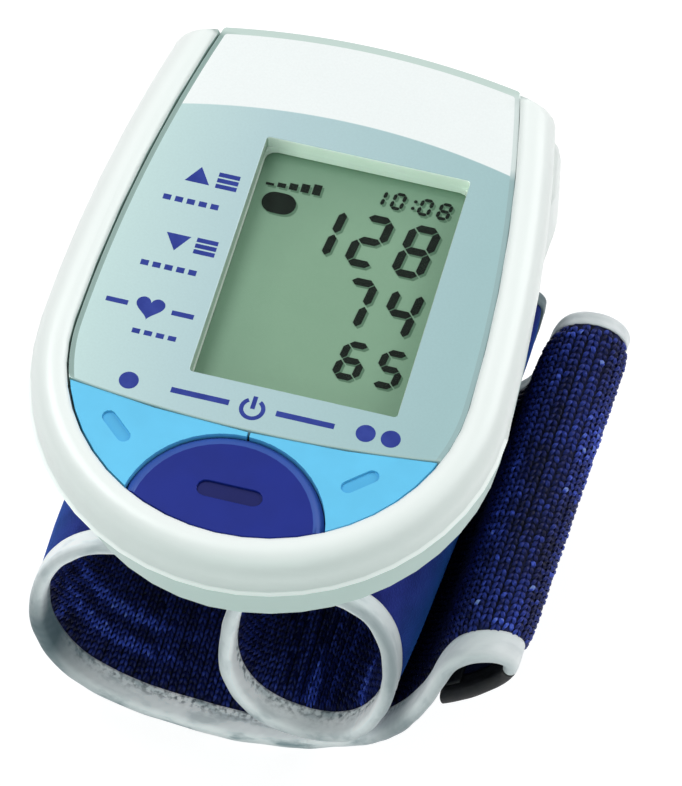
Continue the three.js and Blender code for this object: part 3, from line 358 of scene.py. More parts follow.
def pale_well(colours):
    # Matt moulded frame round the display: pale mint, with light from the lens's face spread in it,
    # and a painted glow on the wall at its top end, fading out towards the left corner
    material, node = toned(
        "matt_frame", dim(colours.well, 0.93), colours.well, 5, (0.5, 0.62), 3,
        IOR=1.5, Subsurface_Weight=0.5, Subsurface_Scale=1.5 * MM, Subsurface_Radius=(1, 1, 1),
        Emission_Color=linear("#D8F2DC"))
    (left, _), (_, upper) = window()
    spot = axes(material)
    high = add_node(
        material, "MapRange",
        {"Value": spot["Y"], "From Min": upper - 0.8 * MM, "From Max": upper - 0.2 * MM})
    right = add_node(
        material, "MapRange",
        {"Value": spot["X"], "From Min": left, "From Max": left + 5 * MM, "To Max": 0.3})
    # Painted glow: emission on the top wall, none at the left corner
    link(node, "Emission Strength", add_node(
        material, "Math", {0: high, 1: right}, operation="MULTIPLY"))
    roughen(material, node, 0.35 * MM, 0.01 * MM)
    # The same frame on its left wall, which faces away from the light
    toned("shaded_frame", dim(colours.well_shade, 0.93), colours.well_shade, 5, (0.5, 0.62), 3,
          IOR=1.5)


def display_glass(colours):
    # Liquid crystal cell with a reflector: even grey-green, with painted shade towards the frame,
    # where its shadow falls
    material, node = finish("display_glass", IOR=1.5, Coat_Weight=0.15, Coat_Roughness=0.1)
    centre = (DISPLAY_LOW + DISPLAY_HIGH) / 2
    reach = (DISPLAY_HIGH - DISPLAY_LOW) / 2
    spread = add_node(
        material, "Mapping",
        {"Vector": add_node(material, "TexCoord", give="Object"),
         "Location": (-centre.x / reach.x - 0.12, -centre.y / reach.y + 0.1, 0),
         "Scale": (1 / reach.x, 1 / reach.y, 0)})
    away = add_node(material, "VectorMath", {0: spread}, give="Value", operation="LENGTH")
    tone = fade(material, away, (0.55, 1.5), colours.glass, colours.glass_shade)
    link(node, "Base Color", speckle(material, tone, 0.3 * MM, 2, 0.05))
    rub(material, node, 0.35, 0.45, 4 * MM)


def inks(colours):
    # Display segments: flat black, a little green
    toned("display_segment", colours.segment, linear("#141C17"), 1.5, (0.4, 0.55), 2,
          Specular_IOR_Level=0.08)
    # Painted shadow under the segments on the reflector
    toned("segment_shade", colours.ghost, linear("#6B8E75"), 1.5, (0.5, 0.6), 2,
          Alpha=0.8, Specular_IOR_Level=0.1)
    # Screen-printed ink under the lens's gloss
    toned("screen_ink", colours.ink, linear("#34449A"), 2, (0.4, 0.5), 2, Specular_IOR_Level=0.15)


def caps(colours):
    # Moulded key caps with a satin face; the finger recesses are painted darker as shade, and the
    # start key's slope lighter as painted light
    for name, share, tone in (
            ("sky_blue_cap", 0.94, colours.sky), ("sky_blue_recess", 0.94, colours.sky_recess_shade),
            ("deep_blue_cap", 0.9, colours.deep), ("deep_blue_slope_lit", 0.9, colours.deep_slope_lit),
            ("deep_blue_recess", 0.9, colours.deep_recess_shade)):
        toned(name, dim(tone, share), tone, 6, (0.38, 0.48), 4, IOR=1.5, Specular_IOR_Level=0.2)


def velour(colours):
    # Brushed nylon velour: short nap that glows at grazing light and lies in soft patches
    material, node = finish(
        "navy_velour", Roughness=0.9, Specular_IOR_Level=0.2,
        Sheen_Roughness=0.45, Sheen_Tint=linear("#3F88FF"))
    patch = mottle(material, node, colours.velour, colours.velour_light, 5 * MM, (0.3, 0.75))
    nap = add_node(
        material, "MapRange",
        {"Value": grain(material, 0.35 * MM, 2), "To Min": 0.7, "To Max": 1.3})
    # Painted shade: darker and with less sheen deep inside the tail's fold
    deep = add_node(material, "Attribute", give="Fac", attribute_name="painted_shading")
    kept = add_node(material, "MapRange", {"Value": deep, "To Min": 1, "To Max": 0.12})
    level = add_node(material, "Math", {0: nap, 1: kept}, operation="MULTIPLY")
    link(node, "Sheen Weight", add_node(
        material, "MapRange", {"Value": deep, "To Min": 0.6, "To Max": 0.08}))
    link(node, "Base Color", add_node(
        material, "VectorMath", {0: patch, "Scale": level}, operation="SCALE"))
    roughen(material, node, 0.3 * MM, 0.12 * MM)


def knit(colours):
    # Ribbed polyester knit: a dark ground under plump stitches, with light and shade painted on each
    # point, so that some stitches catch the light
    for name, dull, gloss in (("navy_knit", 0.45, (0.6, 0.75)), ("navy_yarn", 1.0, (0.36, 0.55))):
        material, node = finish(
            name, Specular_IOR_Level=0.25, Sheen_Weight=0.1, Sheen_Roughness=0.35,
            Sheen_Tint=linear("#6F7CE0"))
        painted_shading = add_node(material, "Attribute", give="Fac", attribute_name="painted_shading")
        fuzz = add_node(
            material, "Math", {0: grain(material, 0.6 * MM, 2), 1: -0.5}, operation="ADD")
        tone = add_node(material, "Math", {0: fuzz, 1: 0.6, 2: painted_shading}, operation="MULTIPLY_ADD")
        level = add_node(material, "Math", {0: tone, 1: dull}, operation="MULTIPLY")
        ramp = add_node(material, "ValToRGB", {"Fac": level})
        stops = ramp.node.color_ramp.elements
        stops[0].color, stops[1].color = colours.knit_dark, colours.knit_painted_glint
        for at, thread in (
                (0.3, colours.knit), (0.62, colours.knit_lit_crest), (0.8, colours.knit_lit_streak)):
            stops.new(at).color = thread
        link(node, "Base Color", ramp)
        rub(material, node, *gloss, 0.8 * MM)
        roughen(material, node, 0.22 * MM, 0.05 * MM)


def tape(colours):
    # Woven polyester binding: satin threads, bright folds, dull patches along the tape, a faint
    # painted glow that lifts it out of shade, and dark flecks where its inner edge is sewn to the
    # knit
    material, node = finish(
        "grey_binding", Sheen_Weight=0.2, Sheen_Roughness=0.4, Sheen_Tint=linear("#E6EDF0"),
        Emission_Strength=0.25)
    where = add_node(material, "TexCoord", give="UV")
    inward = add_node(material, "SeparateXYZ", {"Vector": where}, give="Y")
    spot = axes(material)
    long = add_node(material, "Mapping", {"Vector": where, "Scale": (0.35, 1, 1)})
    patches = add_node(material, "ValToRGB", {"Fac": add_node(
        material, "TexNoise", {"Vector": long, "Scale": 1 / (2.4 * MM), "Detail": 5},
        give="Fac")})
    stops = patches.node.color_ramp.elements
    stops[0].position, stops[0].color = 0.37, colours.tape_dark
    stops[1].position, stops[1].color = 0.64, colours.tape_bright_and_lit
    stops.new(0.5).color = colours.tape
    # Flecks lie along the sewn edge, and only on the front tape of the roll and the loop
    sewn = add_node(
        material, "MapRange", {"Value": inward, "From Min": 3 * MM, "From Max": 0.8 * MM})
    flecks = add_node(
        material, "MapRange",
        {"Value": grain(material, 0.8 * MM, 4), "From Min": 0.44, "From Max": 0.66, "To Max": 0.9})
    flecks = add_node(material, "Math", {0: sewn, 1: flecks}, operation="MULTIPLY")
    for axis, low, high in (("X", 22, 26), ("Y", -12, -6)):
        flecks = add_node(material, "Math", {0: flecks, 1: add_node(
            material, "MapRange",
            {"Value": spot[axis], "From Min": low * MM, "From Max": high * MM,
             "To Min": 1, "To Max": 0})}, operation="MULTIPLY")
    # Patches are strong along the bottom and faint higher up
    low = add_node(
        material, "MapRange",
        {"Value": spot["Z"], "From Min": 16 * MM, "From Max": 5 * MM, "To Min": 0.3})
    layers = [(low, patches), (flecks, colours.tape_fleck)]
    # Painted light makes the inner flap bright, and painted shade darkens the tape where it folds
    # over to the outside
    for (start, full, share), (leave, stop), target in (
            ((0.8, 2.2, 0.5), (3.6, 4.6), colours.tape_bright_and_lit),
            ((4.1, 5.5, 0.45), (5.9, 6.9), colours.tape_shade)):
        rise = add_node(
            material, "MapRange",
            {"Value": inward, "From Min": start * MM, "From Max": full * MM, "To Max": share})
        fall = add_node(
            material, "MapRange",
            {"Value": inward, "From Min": leave * MM, "From Max": stop * MM,
             "To Min": 1, "To Max": 0})
        layers.append(
            (add_node(material, "Math", {0: rise, 1: fall}, operation="MULTIPLY"), target))
    # Painted shade from each point's value, where the tape bends round and along the tail
    darkened = add_node(material, "Attribute", give="Fac", attribute_name="painted_shading")
    layers.append((darkened, colours.tape_shade))
    tone = colours.tape
    for share, target in layers:
        tone = add_node(
            material, "Mix", {"Factor": share, 6: tone, 7: target}, give=2, data_type="RGBA")
    link(node, "Base Color", tone)
    link(node, "Emission Color", tone)
    rub(material, node, 0.45, 0.62, 2 * MM)
    # Threads drawn at half a millimetre so that the weave shows
    weave = add_node(
        material, "TexWave",
        {"Vector": where, "Scale": 1 / (0.5 * MM) / 6.28, "Distortion": 1.5, "Detail": 1},
        give="Fac", bands_direction="DIAGONAL")
    link(node, "Normal", add_node(
        material, "Bump", {"Height": weave, "Strength": 0.5, "Distance": 0.05 * MM}))


def clear_pane():
    # Clear acrylic over the display: almost unseen, with a faint polish
    toned("clear_acrylic", linear("#5E7066"), linear("#6C7E74"), 10, (0.04, 0.09), 10,
          IOR=1.49, Alpha=0.025)


def hidden_parts():
    # Parts inside the case, seen when the door is off, the film and the hook tape: moulded,
    # rolled, wrapped or woven in two close tones, with uneven gloss and a fine grit
    for name, low, high, patch, gloss, grit, depth, metal in (
            ("black_rubber", "#1A1B1E", "#232428", 4, (0.7, 0.85), 0.4, 0.01, 0),
            ("board_laminate", "#1A5E39", "#24774A", 3, (0.45, 0.6), 0.5, 0.01, 0),
            ("black_part", "#222428", "#2C2E33", 3, (0.45, 0.6), 0.3, 0.008, 0),
            ("grey_part", "#90969A", "#A3A9AC", 3, (0.45, 0.6), 0.4, 0.008, 0),
            ("plain_steel", "#A9ADB0", "#C2C5C7", 2, (0.25, 0.4), 0.2, 0.004, 1),
            ("clear_silicone", "#CDD0CA", "#DDDFD9", 2, (0.5, 0.65), 0.4, 0.006, 0),
            ("cell_wrap", "#363F4B", "#45505E", 5, (0.3, 0.42), 0.6, 0.006, 0),
            ("grey_film", "#66707B", "#7A8590", 4, (0.45, 0.6), 0.5, 0.01, 0),
            # Near black; also painted on the tail's tab and end tapes, as shade under the fold
            ("hook_tape", "#05060B", "#0B0D16", 1.2, (0.5, 0.7), 0.3, 0.03, 0)):
        material, node = toned(
            name, linear(low), linear(high), patch, gloss, patch, Metallic=metal)
        roughen(material, node, grit * MM, depth * MM)


# Building

FLAT_AREA = 30 * MM ** 2  # a larger face keeps flat shading
LEVEL = 0.9999  # and so does a face whose normal is this upright
WELD = 0.002 * MM  # points closer than this are one
SAME_PLANE = 0.4  # degrees, below which two faces are one flat face


def place(name, shape, finishes, body, replaced=(), smooth=35):
    """Turn a bmesh into a piece that rides on a body; its large faces keep flat shading."""
    mesh = bpy.data.meshes.new(name)
    shape.to_mesh(mesh)
    shape.free()
    mesh.shade_smooth()
    mesh.set_sharp_from_angle(angle=math.radians(smooth))
    for polygon in mesh.polygons:
        polygon.use_smooth = polygon.area < FLAT_AREA and abs(polygon.normal.z) < LEVEL
    for title in finishes:
        mesh.materials.append(made[title])
    piece = bpy.data.objects.new(name, mesh)
    bpy.context.scene.collection.objects.link(piece)
    if body:
        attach(piece, body)
    if replaced:
        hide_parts(*replaced)
    return piece


def node_copy(name):
    """A merged copy of a CAD node's mesh, with its flat faces whole."""
    shape = bmesh.new()
    shape.from_mesh(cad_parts[name].data)
    bmesh.ops.remove_doubles(shape, verts=shape.verts[:], dist=WELD)
    bmesh.ops.dissolve_limit(
        shape, angle_limit=math.radians(SAME_PLANE), verts=shape.verts[:], edges=shape.edges[:])
    return shape


def soften(shape, edges, width, segments=3):
    """Round some edges; returns the faces of the rounding."""
    return bmesh.ops.bevel(
        shape, geom=list(edges), offset=width, offset_type="OFFSET", segments=segments,
        profile=0.5, affect="EDGES", material=-1, clamp_overlap=True)["faces"]


def sharp_edges(shape, angle=40):
    """Edges between two faces that meet at more than an angle, convex only."""
    return [
        edge for edge in shape.edges
        if len(edge.link_faces) == 2 and edge.is_convex
        and edge.calc_face_angle(0) > math.radians(angle)]


def edges_at(shape, height, slip):
    """Sharp edges whose ends both lie at a height, give or take a slip."""
    return [
        edge for edge in sharp_edges(shape)
        if all(abs(vert.co.z - height) < slip for vert in edge.verts)]


def middle(edge):
    """Middle of an edge."""
    return (edge.verts[0].co + edge.verts[1].co) / 2


def ring(shape, points, z):
    """A closed loop of edges through plan points."""
    verts = [shape.verts.new((x, y, z)) for x, y in points]
    return [shape.edges.new((verts[at - 1], verts[at])) for at in range(len(verts))]


def arc(centre, radius, start, stop, steps):
    """Plan points of an arc in degrees, both ends included."""
    turns = np.radians(np.linspace(start, stop, steps + 1))
    return [(centre[0] + radius * math.cos(t), centre[1] + radius * math.sin(t)) for t in turns]


def rounded(low, high, radius, steps=6):
    """Plan points of a rounded rectangle."""
    corners = (
        (high[0] - radius, high[1] - radius, 0), (low[0] + radius, high[1] - radius, 90),
        (low[0] + radius, low[1] + radius, 180), (high[0] - radius, low[1] + radius, 270))
    return [
        point for x, y, turn in corners
        for point in arc((x, y), radius, turn, turn + 90, steps)]


def bar(low, high):
    """Outline of an upright rectangle."""
    return [(low[0], low[1]), (high[0], low[1]), (high[0], high[1]), (low[0], high[1])]


def band_arc(centre, radius, weight, start, stop, steps=24):
    """Outline of a curved stroke."""
    outer = arc(centre, radius + weight / 2, start, stop, steps)
    inner = arc(centre, radius - weight / 2, stop, start, steps)
    return outer + inner


def sink(shape, faces, drop):
    """Give flat faces a thickness downwards."""
    grown = bmesh.ops.extrude_face_region(shape, geom=faces, use_keep_orig=True)["geom"]
    bmesh.ops.translate(
        shape, vec=(0, 0, -drop),
        verts=[part for part in grown if isinstance(part, bmesh.types.BMVert)])


def slab(shape, loops, z, drop):
    """A flat plate between loops, given a thickness downwards; returns its top faces."""
    rings = [ring(shape, points, z) for points in loops]
    tops = []
    for outer, inner in zip(rings, rings[1:-1]):
        tops.append(bmesh.ops.bridge_loops(shape, edges=outer + inner)["faces"])
    filled = bmesh.ops.triangle_fill(
        shape, use_beauty=True, edges=[edge for edges in rings[-2:] for edge in edges])["geom"]
    tops.append([part for part in filled if isinstance(part, bmesh.types.BMFace)])
    every = [face for faces in tops for face in faces]
    bmesh.ops.recalc_face_normals(shape, faces=every)
    if every[0].normal.z < 0:
        bmesh.ops.reverse_faces(shape, faces=every)
    sink(shape, every, drop)
    bmesh.ops.recalc_face_normals(shape, faces=shape.faces[:])
    return tops


def draw(shape, outline, z, drop):
    """A thin flat plate of any outline."""
    face = shape.faces.new([shape.verts.new((point[0], point[1], z)) for point in outline])
    face.normal_update()
    if face.normal.z < 0:
        face.normal_flip()
    sink(shape, [face], drop)


def window():
    """Lowest and highest plan corner of the display window."""
    margin = bpy.context.scene.monitor_case.window_margin
    return (
        (DISPLAY_LOW.x + margin, DISPLAY_LOW.y + margin),
        (DISPLAY_HIGH.x - margin, DISPLAY_HIGH.y - margin))


class MONITOR_OT_finishes(bpy.types.Operator):
    """Make every finish"""

    bl_idname = "monitor.finishes"
    bl_label = "Finishes"

    def execute(self, context):
        colours = context.scene.monitor_finishes
        for maker in (
                white_abs, lens_print, clear_edge, pale_well, display_glass, inks, caps, velour,
                knit, tape):
            maker(colours)
        clear_pane()
        hidden_parts()
        return {"FINISHED"}


def flare_seam(shape, sizes):
    """Flare the upper housing's round end out a little where it meets the seam."""
    lip_height = 0.3 * MM
    outer_wall = sizes.round_radius + 4.5 * MM
    low = min(vert.co.z for vert in shape.verts if abs(vert.co.x) > sizes.round_radius + 5 * MM)
    bmesh.ops.bisect_plane(
        shape, geom=shape.verts[:] + shape.edges[:] + shape.faces[:],
        plane_co=(0, 0, low + lip_height), plane_no=(0, 0, 1))
    centre = Vector((0, sizes.round_y))
    for vert in shape.verts:
        away = vert.co.xy - centre
        if abs(vert.co.z - low) < 0.05 * MM and away.length > outer_wall:
            if vert.co.y < sizes.round_y + 1 * MM:
                vert.co.xy += away.normalized() * sizes.seam_lip
    # The lip is the face between the seam and the cut above it; it takes the painted highlight
    for face in shape.faces:
        spot = face.calc_center_median()
        if abs(spot.z - low) < 0.2 * MM and abs(face.normal.z) < 0.95 and spot.y < sizes.round_y:
            if (spot.xy - centre).length > outer_wall:
                face.material_index = 1


BAY_SIDE = 26.5 * MM  # the bay's outer sides lie beyond this on both sides of the case,
BAY_FRONT = 28.1 * MM  # behind this
BAY_LOW = FACE - 17 * MM  # and above this
SLIVER = 2 * MM ** 2  # and smaller faces are left alone


def blend_bay(shape, sizes):
    """Let the battery bay's sides run out to the front and round over towards the rim."""
    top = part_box("lower_housing")[1].z
    side = []
    for face in shape.faces:
        spot = face.calc_center_median()
        if (abs(face.normal.z) < 0.1 and face.normal.x * spot.x > 0
                and abs(spot.x) > BAY_SIDE and spot.y > BAY_FRONT
                and BAY_LOW < spot.z < top and face.calc_area() > SLIVER):
            side.append(face)
    front = min(vert.co.y for face in side for vert in face.verts)
    parts = set(side)
    for face in side:
        parts.update(face.edges[:] + face.verts[:])
    cuts = [
        ((0, front + share * sizes.bay_taper, 0), (0, 1, 0))
        for share in np.linspace(0.15, 1.5, 10)]
    cuts += [
        ((0, 0, top - share * sizes.bay_round), (0, 0, 1)) for share in np.linspace(0.12, 1, 8)]
    for point, normal in cuts:
        parts = set(bmesh.ops.bisect_plane(
            shape, geom=list(parts), plane_co=point, plane_no=normal)["geom"])
    for vert in parts:
        if isinstance(vert, bmesh.types.BMVert):
            run = max(0, 1 - (vert.co.y - front) / sizes.bay_taper)
            rise = max(0, (vert.co.z - top) / sizes.bay_round + 1)
            drawn = max(1.15 * run ** 2, 1 - math.sqrt(max(0, 1 - rise ** 2)))
            vert.co.x -= math.copysign(sizes.bay_step * drawn, vert.co.x)


BELLY_TOP = FACE - 6.2 * MM  # the wall starts to draw in here
BELLY_DEPTH = 6 * MM  # and is drawn in fully this far below
DRAFT_TURN = 70  # degrees from the front to the side, over which the draft grows
DRAFT_FADE = 25 * MM  # length along the straight side, over which it is lost


def draft_belly(shape, sizes):
    """Draw the lower housing's wall in downwards under the left of its round end."""
    for vert in shape.verts:
        deep = (BELLY_TOP - vert.co.z) / BELLY_DEPTH
        # A little past the depth, so that the wall's lowest points are drawn in too
        if vert.co.x < 3 * MM and 0 < deep < 1.05:
            away = vert.co.xy - Vector((0, sizes.round_y))
            turn = math.degrees(math.atan2(-away.x, -away.y)) + 5
            share = min(1, max(0, turn / DRAFT_TURN))
            fade_out = min(1, max(0, 1 - away.y / DRAFT_FADE))
            draw_in = sizes.belly_draft * share ** 2 * (3 - 2 * share) * fade_out * deep
            vert.co.xy -= away.normalized() * draw_in


RIM_REAR = 30 * MM  # behind this the upper housing's edges are rounded
RIM_LOW = FACE - 6.5 * MM  # down to this
GAP_LEFT = -15 * MM  # the wall in the gap beside the lens lies to the left of this
GAP_DEPTHS = (-3 * MM, -0.2 * MM)  # between these depths under the face
BASE_HEIGHTS = (FACE - 27.5 * MM, FACE - 24 * MM)  # the bay's lower edges lie between these
BASE_FRONT = 28 * MM  # and behind this
SHORT_EDGE = 1.5 * MM  # shorter ones stay sharp
# In front of this the lower housing carries painted shade in its belly colour
WHITE_FRONT = 27 * MM  # behind this the lower housing is white


class MONITOR_OT_housings(bpy.types.Operator):
    """Round the moulded edges of the two housings"""

    bl_idname = "monitor.housings"
    bl_label = "Housings"

    def execute(self, context):
        sizes = context.scene.monitor_case
        shape = node_copy("upper_housing")
        flare_seam(shape, sizes)
        soften(shape, [
            edge for edge in sharp_edges(shape)
            if middle(edge).y > RIM_REAR and middle(edge).z > RIM_LOW], sizes.edge_round)
        # The wall in the gap beside the lens takes painted shade
        for face in shape.faces:
            spot = face.calc_center_median()
            if face.normal.x > 0.5 and spot.x < GAP_LEFT:
                if GAP_DEPTHS[0] < spot.z - FACE < GAP_DEPTHS[1]:
                    face.material_index = 2
        place("upper_housing_shell", shape, ("white_abs", "lip_highlight_abs", "gap_shade_abs"), "monitor",
              ("upper_housing",))
        shape = node_copy("lower_housing")
        blend_bay(shape, sizes)
        draft_belly(shape, sizes)
        soften(shape, [
            edge for edge in sharp_edges(shape, 50)
            if BASE_HEIGHTS[0] < middle(edge).z < BASE_HEIGHTS[1]
            and edge.calc_length() > SHORT_EDGE and middle(edge).y > BASE_FRONT], sizes.edge_round)
        for face in shape.faces:
            face.material_index = 1 if face.calc_center_median().y > WHITE_FRONT else 0
        place("lower_housing_shell", shape, ("belly_shade_abs", "white_abs"), "monitor",
              ("lower_housing",))
        return {"FINISHED"}


class MONITOR_OT_door(bpy.types.Operator):
    """Battery door with grip ribs"""

    bl_idname = "monitor.door"
    bl_label = "Battery Door"

    def execute(self, context):
        shape = node_copy("battery_door")
        soften(shape, sharp_edges(shape), 0.25 * MM)
        place("battery_door_shell", shape, ("white_abs",), "door", ("battery_door",))
        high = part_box("battery_door")[1]
        radius = context.scene.monitor_case.top_radius
        rib_weight, rib_height = 0.9 * MM, 0.7 * MM
        shape = bmesh.new()
        for number in range(5):
            half = (8 - abs(number - 2)) * MM
            spread = math.degrees(math.asin(half / radius))
            outline = band_arc((0, high.y - radius), radius, rib_weight, 90 - spread, 90 + spread)
            slab(shape, (outline,), high.z - (4 + 1.6 * number) * MM, rib_height)
        soften(shape, sharp_edges(shape), 0.2 * MM, 2)
        place("battery_door_grips", shape, ("white_abs",), "door", ())
        return {"FINISHED"}


def lens_plan(sizes, inset, top_inset, lift):
    """Plan of the lens, drawn in at its sides, at its top end and at its lower edge."""
    shrink = sizes.lens_gap + inset
    radius = sizes.round_radius - shrink
    edge_middle = sizes.lens_edge_y + lift + sizes.lens_edge_radius

    def edge_height(x):
        return edge_middle - math.sqrt(sizes.lens_edge_radius ** 2 - x * x)

    # Where the lower edge crosses the round end
    turn = 0.0
    for _ in range(40):
        x = radius * math.cos(turn)
        turn = math.asin((edge_height(x) - sizes.round_y) / radius)
    # The corner's centre lies as far inside the bowed side as inside the bowed top end
    side = (sizes.round_radius - sizes.side_radius, sizes.round_y)
    side_radius = sizes.side_radius - shrink
    top = (0, sizes.top_y - sizes.top_radius)
    top_radius = sizes.top_radius - top_inset
    curl = sizes.corner_radius
    a, b = Vector(side), Vector(top)
    gap = (b - a).length
    first, second = side_radius - curl, top_radius - curl
    along = (first ** 2 - second ** 2 + gap ** 2) / (2 * gap)
    aside = math.sqrt(first ** 2 - along ** 2)
    way = (b - a).normalized()
    foot = a + way * along
    normal = Vector((-way.y, way.x))
    corner = max((foot + normal * aside, foot - normal * aside), key=lambda point: point.y)
    leave = math.degrees(math.atan2(corner.y - a.y, corner.x - a.x))
    arrive = math.degrees(math.atan2(corner.y - b.y, corner.x - b.x))
    right = arc((0, sizes.round_y), radius, math.degrees(turn), 0, 10)[:-1]
    right += arc(side, side_radius, 0, leave, 16)[:-1]
    right += arc(corner, curl, leave, arrive, 6)[:-1]
    right += arc(top, top_radius, arrive, 90, 10)[:-1]
    left = [(sizes.lens_left * min(1, x / (20 * MM)) - x, y) for x, y in reversed(right)]
    start = right[0][0]
    lower = [(x, edge_height(x)) for x in np.linspace(-start, start, 24)[1:-1]]
    return right + [(0, sizes.top_y - top_inset)] + left + lower


CLEAR_LOW = 0.2 * MM  # unprinted width along the lens's lower edge
WELL_GAP = 0.25 * MM  # how far the lens's window wall reaches below its back
PANE_GAP = 0.05 * MM  # clearance round the pane and below the lens's face
PANE_DEPTH = 1.8 * MM  # thickness of the clear pane


class MONITOR_OT_lens(bpy.types.Operator):
    """Printed lens with its clear rim, and the clear pane over the display"""

    bl_idname = "monitor.lens"
    bl_label = "Lens"

    def execute(self, context):
        sizes = context.scene.monitor_case
        low, high = window()
        top = FACE - sizes.lens_drop
        shape = bmesh.new()
        rim, _ = slab(
            shape,
            (lens_plan(sizes, 0, 0, 0),
             lens_plan(sizes, sizes.clear_edge, sizes.clear_top, CLEAR_LOW),
             rounded(low, high, sizes.window_radius)),
            top, top - LENS_BACK + WELL_GAP)
        for face in rim:
            face.material_index = 1
        # Upright faces: the window's walls, of which the left one is shaded, and the outer edge
        for face in shape.faces:
            spot = face.calc_center_median()
            if abs(face.normal.z) < 0.5:
                inside = all(
                    low[axis] - 0.1 * MM < spot[axis] < high[axis] + 0.1 * MM for axis in (0, 1))
                face.material_index = (3 if face.normal.x > 0.7 else 2) if inside else 1
        soften(shape, edges_at(shape, top, 0.001 * MM), 0.15 * MM, 2)
        place("lens_panel", shape,
              ("printed_acrylic", "clear_acrylic_edge", "matt_frame", "shaded_frame"), "monitor",
              ("display_lens",), 30)
        shape = bmesh.new()
        pane = rounded(np.add(low, PANE_GAP), np.subtract(high, PANE_GAP), sizes.window_radius)
        slab(shape, (pane,), top - PANE_GAP, PANE_DEPTH)
        place("display_pane", shape, ("clear_acrylic",), "monitor", (), 30)
        return {"FINISHED"}


STROKES = {
    "0": "abcdef", "1": "bc", "2": "abged", "3": "abgcd", "4": "fgbc", "5": "afgcd",
    "6": "afgedc", "7": "abc", "8": "abcdefg", "9": "abcdfg"}
LEAN = 0.12  # slant of the figures, as a share of their height
INK = 0.03 * MM  # thickness of the segments
# Plain numbers on the display: left end, foot, width, height, pitch and weight in millimetres
FIGURES = (
    ("128", -2.5, 10.1, 4.7, 9.2, 6.9, 1.2),
    ("74", 4.9, -0.5, 4.7, 8.8, 6.9, 1.2),
    ("65", 7.7, -8.8, 3.9, 6.6, 5.6, 1.05),
    ("10:08", 5.6, 20.9, 1.9, 3.0, 2.8, 0.5))


def stroke(letter, width, height, weight):
    """Outline of one display segment, before slanting."""
    gap = 0.12 * weight
    half = weight / 2
    left, right, low, high, mid = half, width - half, half, height - half, height / 2
    ends = {
        "a": ((left, high), (right, high)), "g": ((left, mid), (right, mid)),
        "d": ((left, low), (right, low)), "f": ((left, mid), (left, high)),
        "b": ((right, mid), (right, high)), "e": ((left, low), (left, mid)),
        "c": ((right, low), (right, mid))}[letter]
    start, stop = (Vector(point) for point in ends)
    way = (stop - start).normalized()
    across = Vector((-way.y, way.x)) * half
    start, stop = start + way * gap, stop - way * gap
    return [
        start, start + way * half - across, stop - way * half - across,
        stop, stop - way * half + across, start + way * half + across]


def write_number(shape, text, left, low, width, height, pitch, weight, z):
    """Slanted seven-segment figures in a row."""
    x = left
    for letter in text:
        if letter == ":":
            for share in (0.3, 0.7):
                spot = (x + LEAN * share * height + weight, low + share * height)
                draw(shape, arc(spot, weight * 0.55, 0, 315, 7), z, INK)
            x += 2.4 * weight
            continue
        for name in STROKES[letter]:
            draw(shape, [
                (x + point.x + LEAN * point.y, low + point.y)
                for point in stroke(name, width, height, weight)], z, INK)
        x += pitch


class MONITOR_OT_display(bpy.types.Operator):
    """Display glass with plain figures and their shade"""

    bl_idname = "monitor.display"
    bl_label = "Display"

    def execute(self, context):
        shape = node_copy("lcd_panel")
        soften(shape, sharp_edges(shape), 0.15 * MM, 2)
        place("display_cell", shape, ("display_glass",), "monitor", ("lcd_panel",))
        # The shade is painted: a darker copy of the figures, shifted right and down, just above the
        # reflector
        for name, title, rise, right, up in (
                ("display_shade", "segment_shade", 0.03 * MM, 0.35 * MM, -0.3 * MM),
                ("display_figures", "display_segment", 0.08 * MM, 0, 0)):
            shape = bmesh.new()
            z = DISPLAY_HIGH.z + rise
            for text, left, low, *size in FIGURES:
                write_number(
                    shape, text, left * MM + right, low * MM + up, *(part * MM for part in size), z)
            # An empty badge, and bars of growing height beside the time
            badge = [
                arc((x * MM + right, 17.7 * MM + up), 1.8 * MM, start, start + 180, 10)
                for x, start in ((-7.6, 90), (-6.2, -90))]
            draw(shape, badge[0] + badge[1], z, INK)
            foot = 20.4 * MM + up
            for number in range(5):
                x = (-9.6 + 1.7 * number) * MM + right
                tip = (20.8 + 0.35 * number) * MM + up
                draw(shape, bar((x, foot), (x + 1.2 * MM, tip)), z, INK)
            bmesh.ops.recalc_face_normals(shape, faces=shape.faces[:])
            place(name, shape, (title,), "monitor", ())
        return {"FINISHED"}


def key_signs():
    """Outlines in millimetres: one dot, a ring with a bar between lines, and two dots."""
    found = [
        arc(centre, 1.4, 0, 352.5, 47) for centre in ((-18.5, -19.0), (15.7, -18.9), (19.3, -18.9))]
    found.append(band_arc((-0.6, -19.1), 1.55, 0.62, 122, 418))
    found.append(bar((-0.92, -19.1), (-0.28, -17.0)))
    found += [bar((low, -19.4), (high, -18.5)) for low, high in ((-12.4, -4.0), (2.8, 11.2))]
    return found


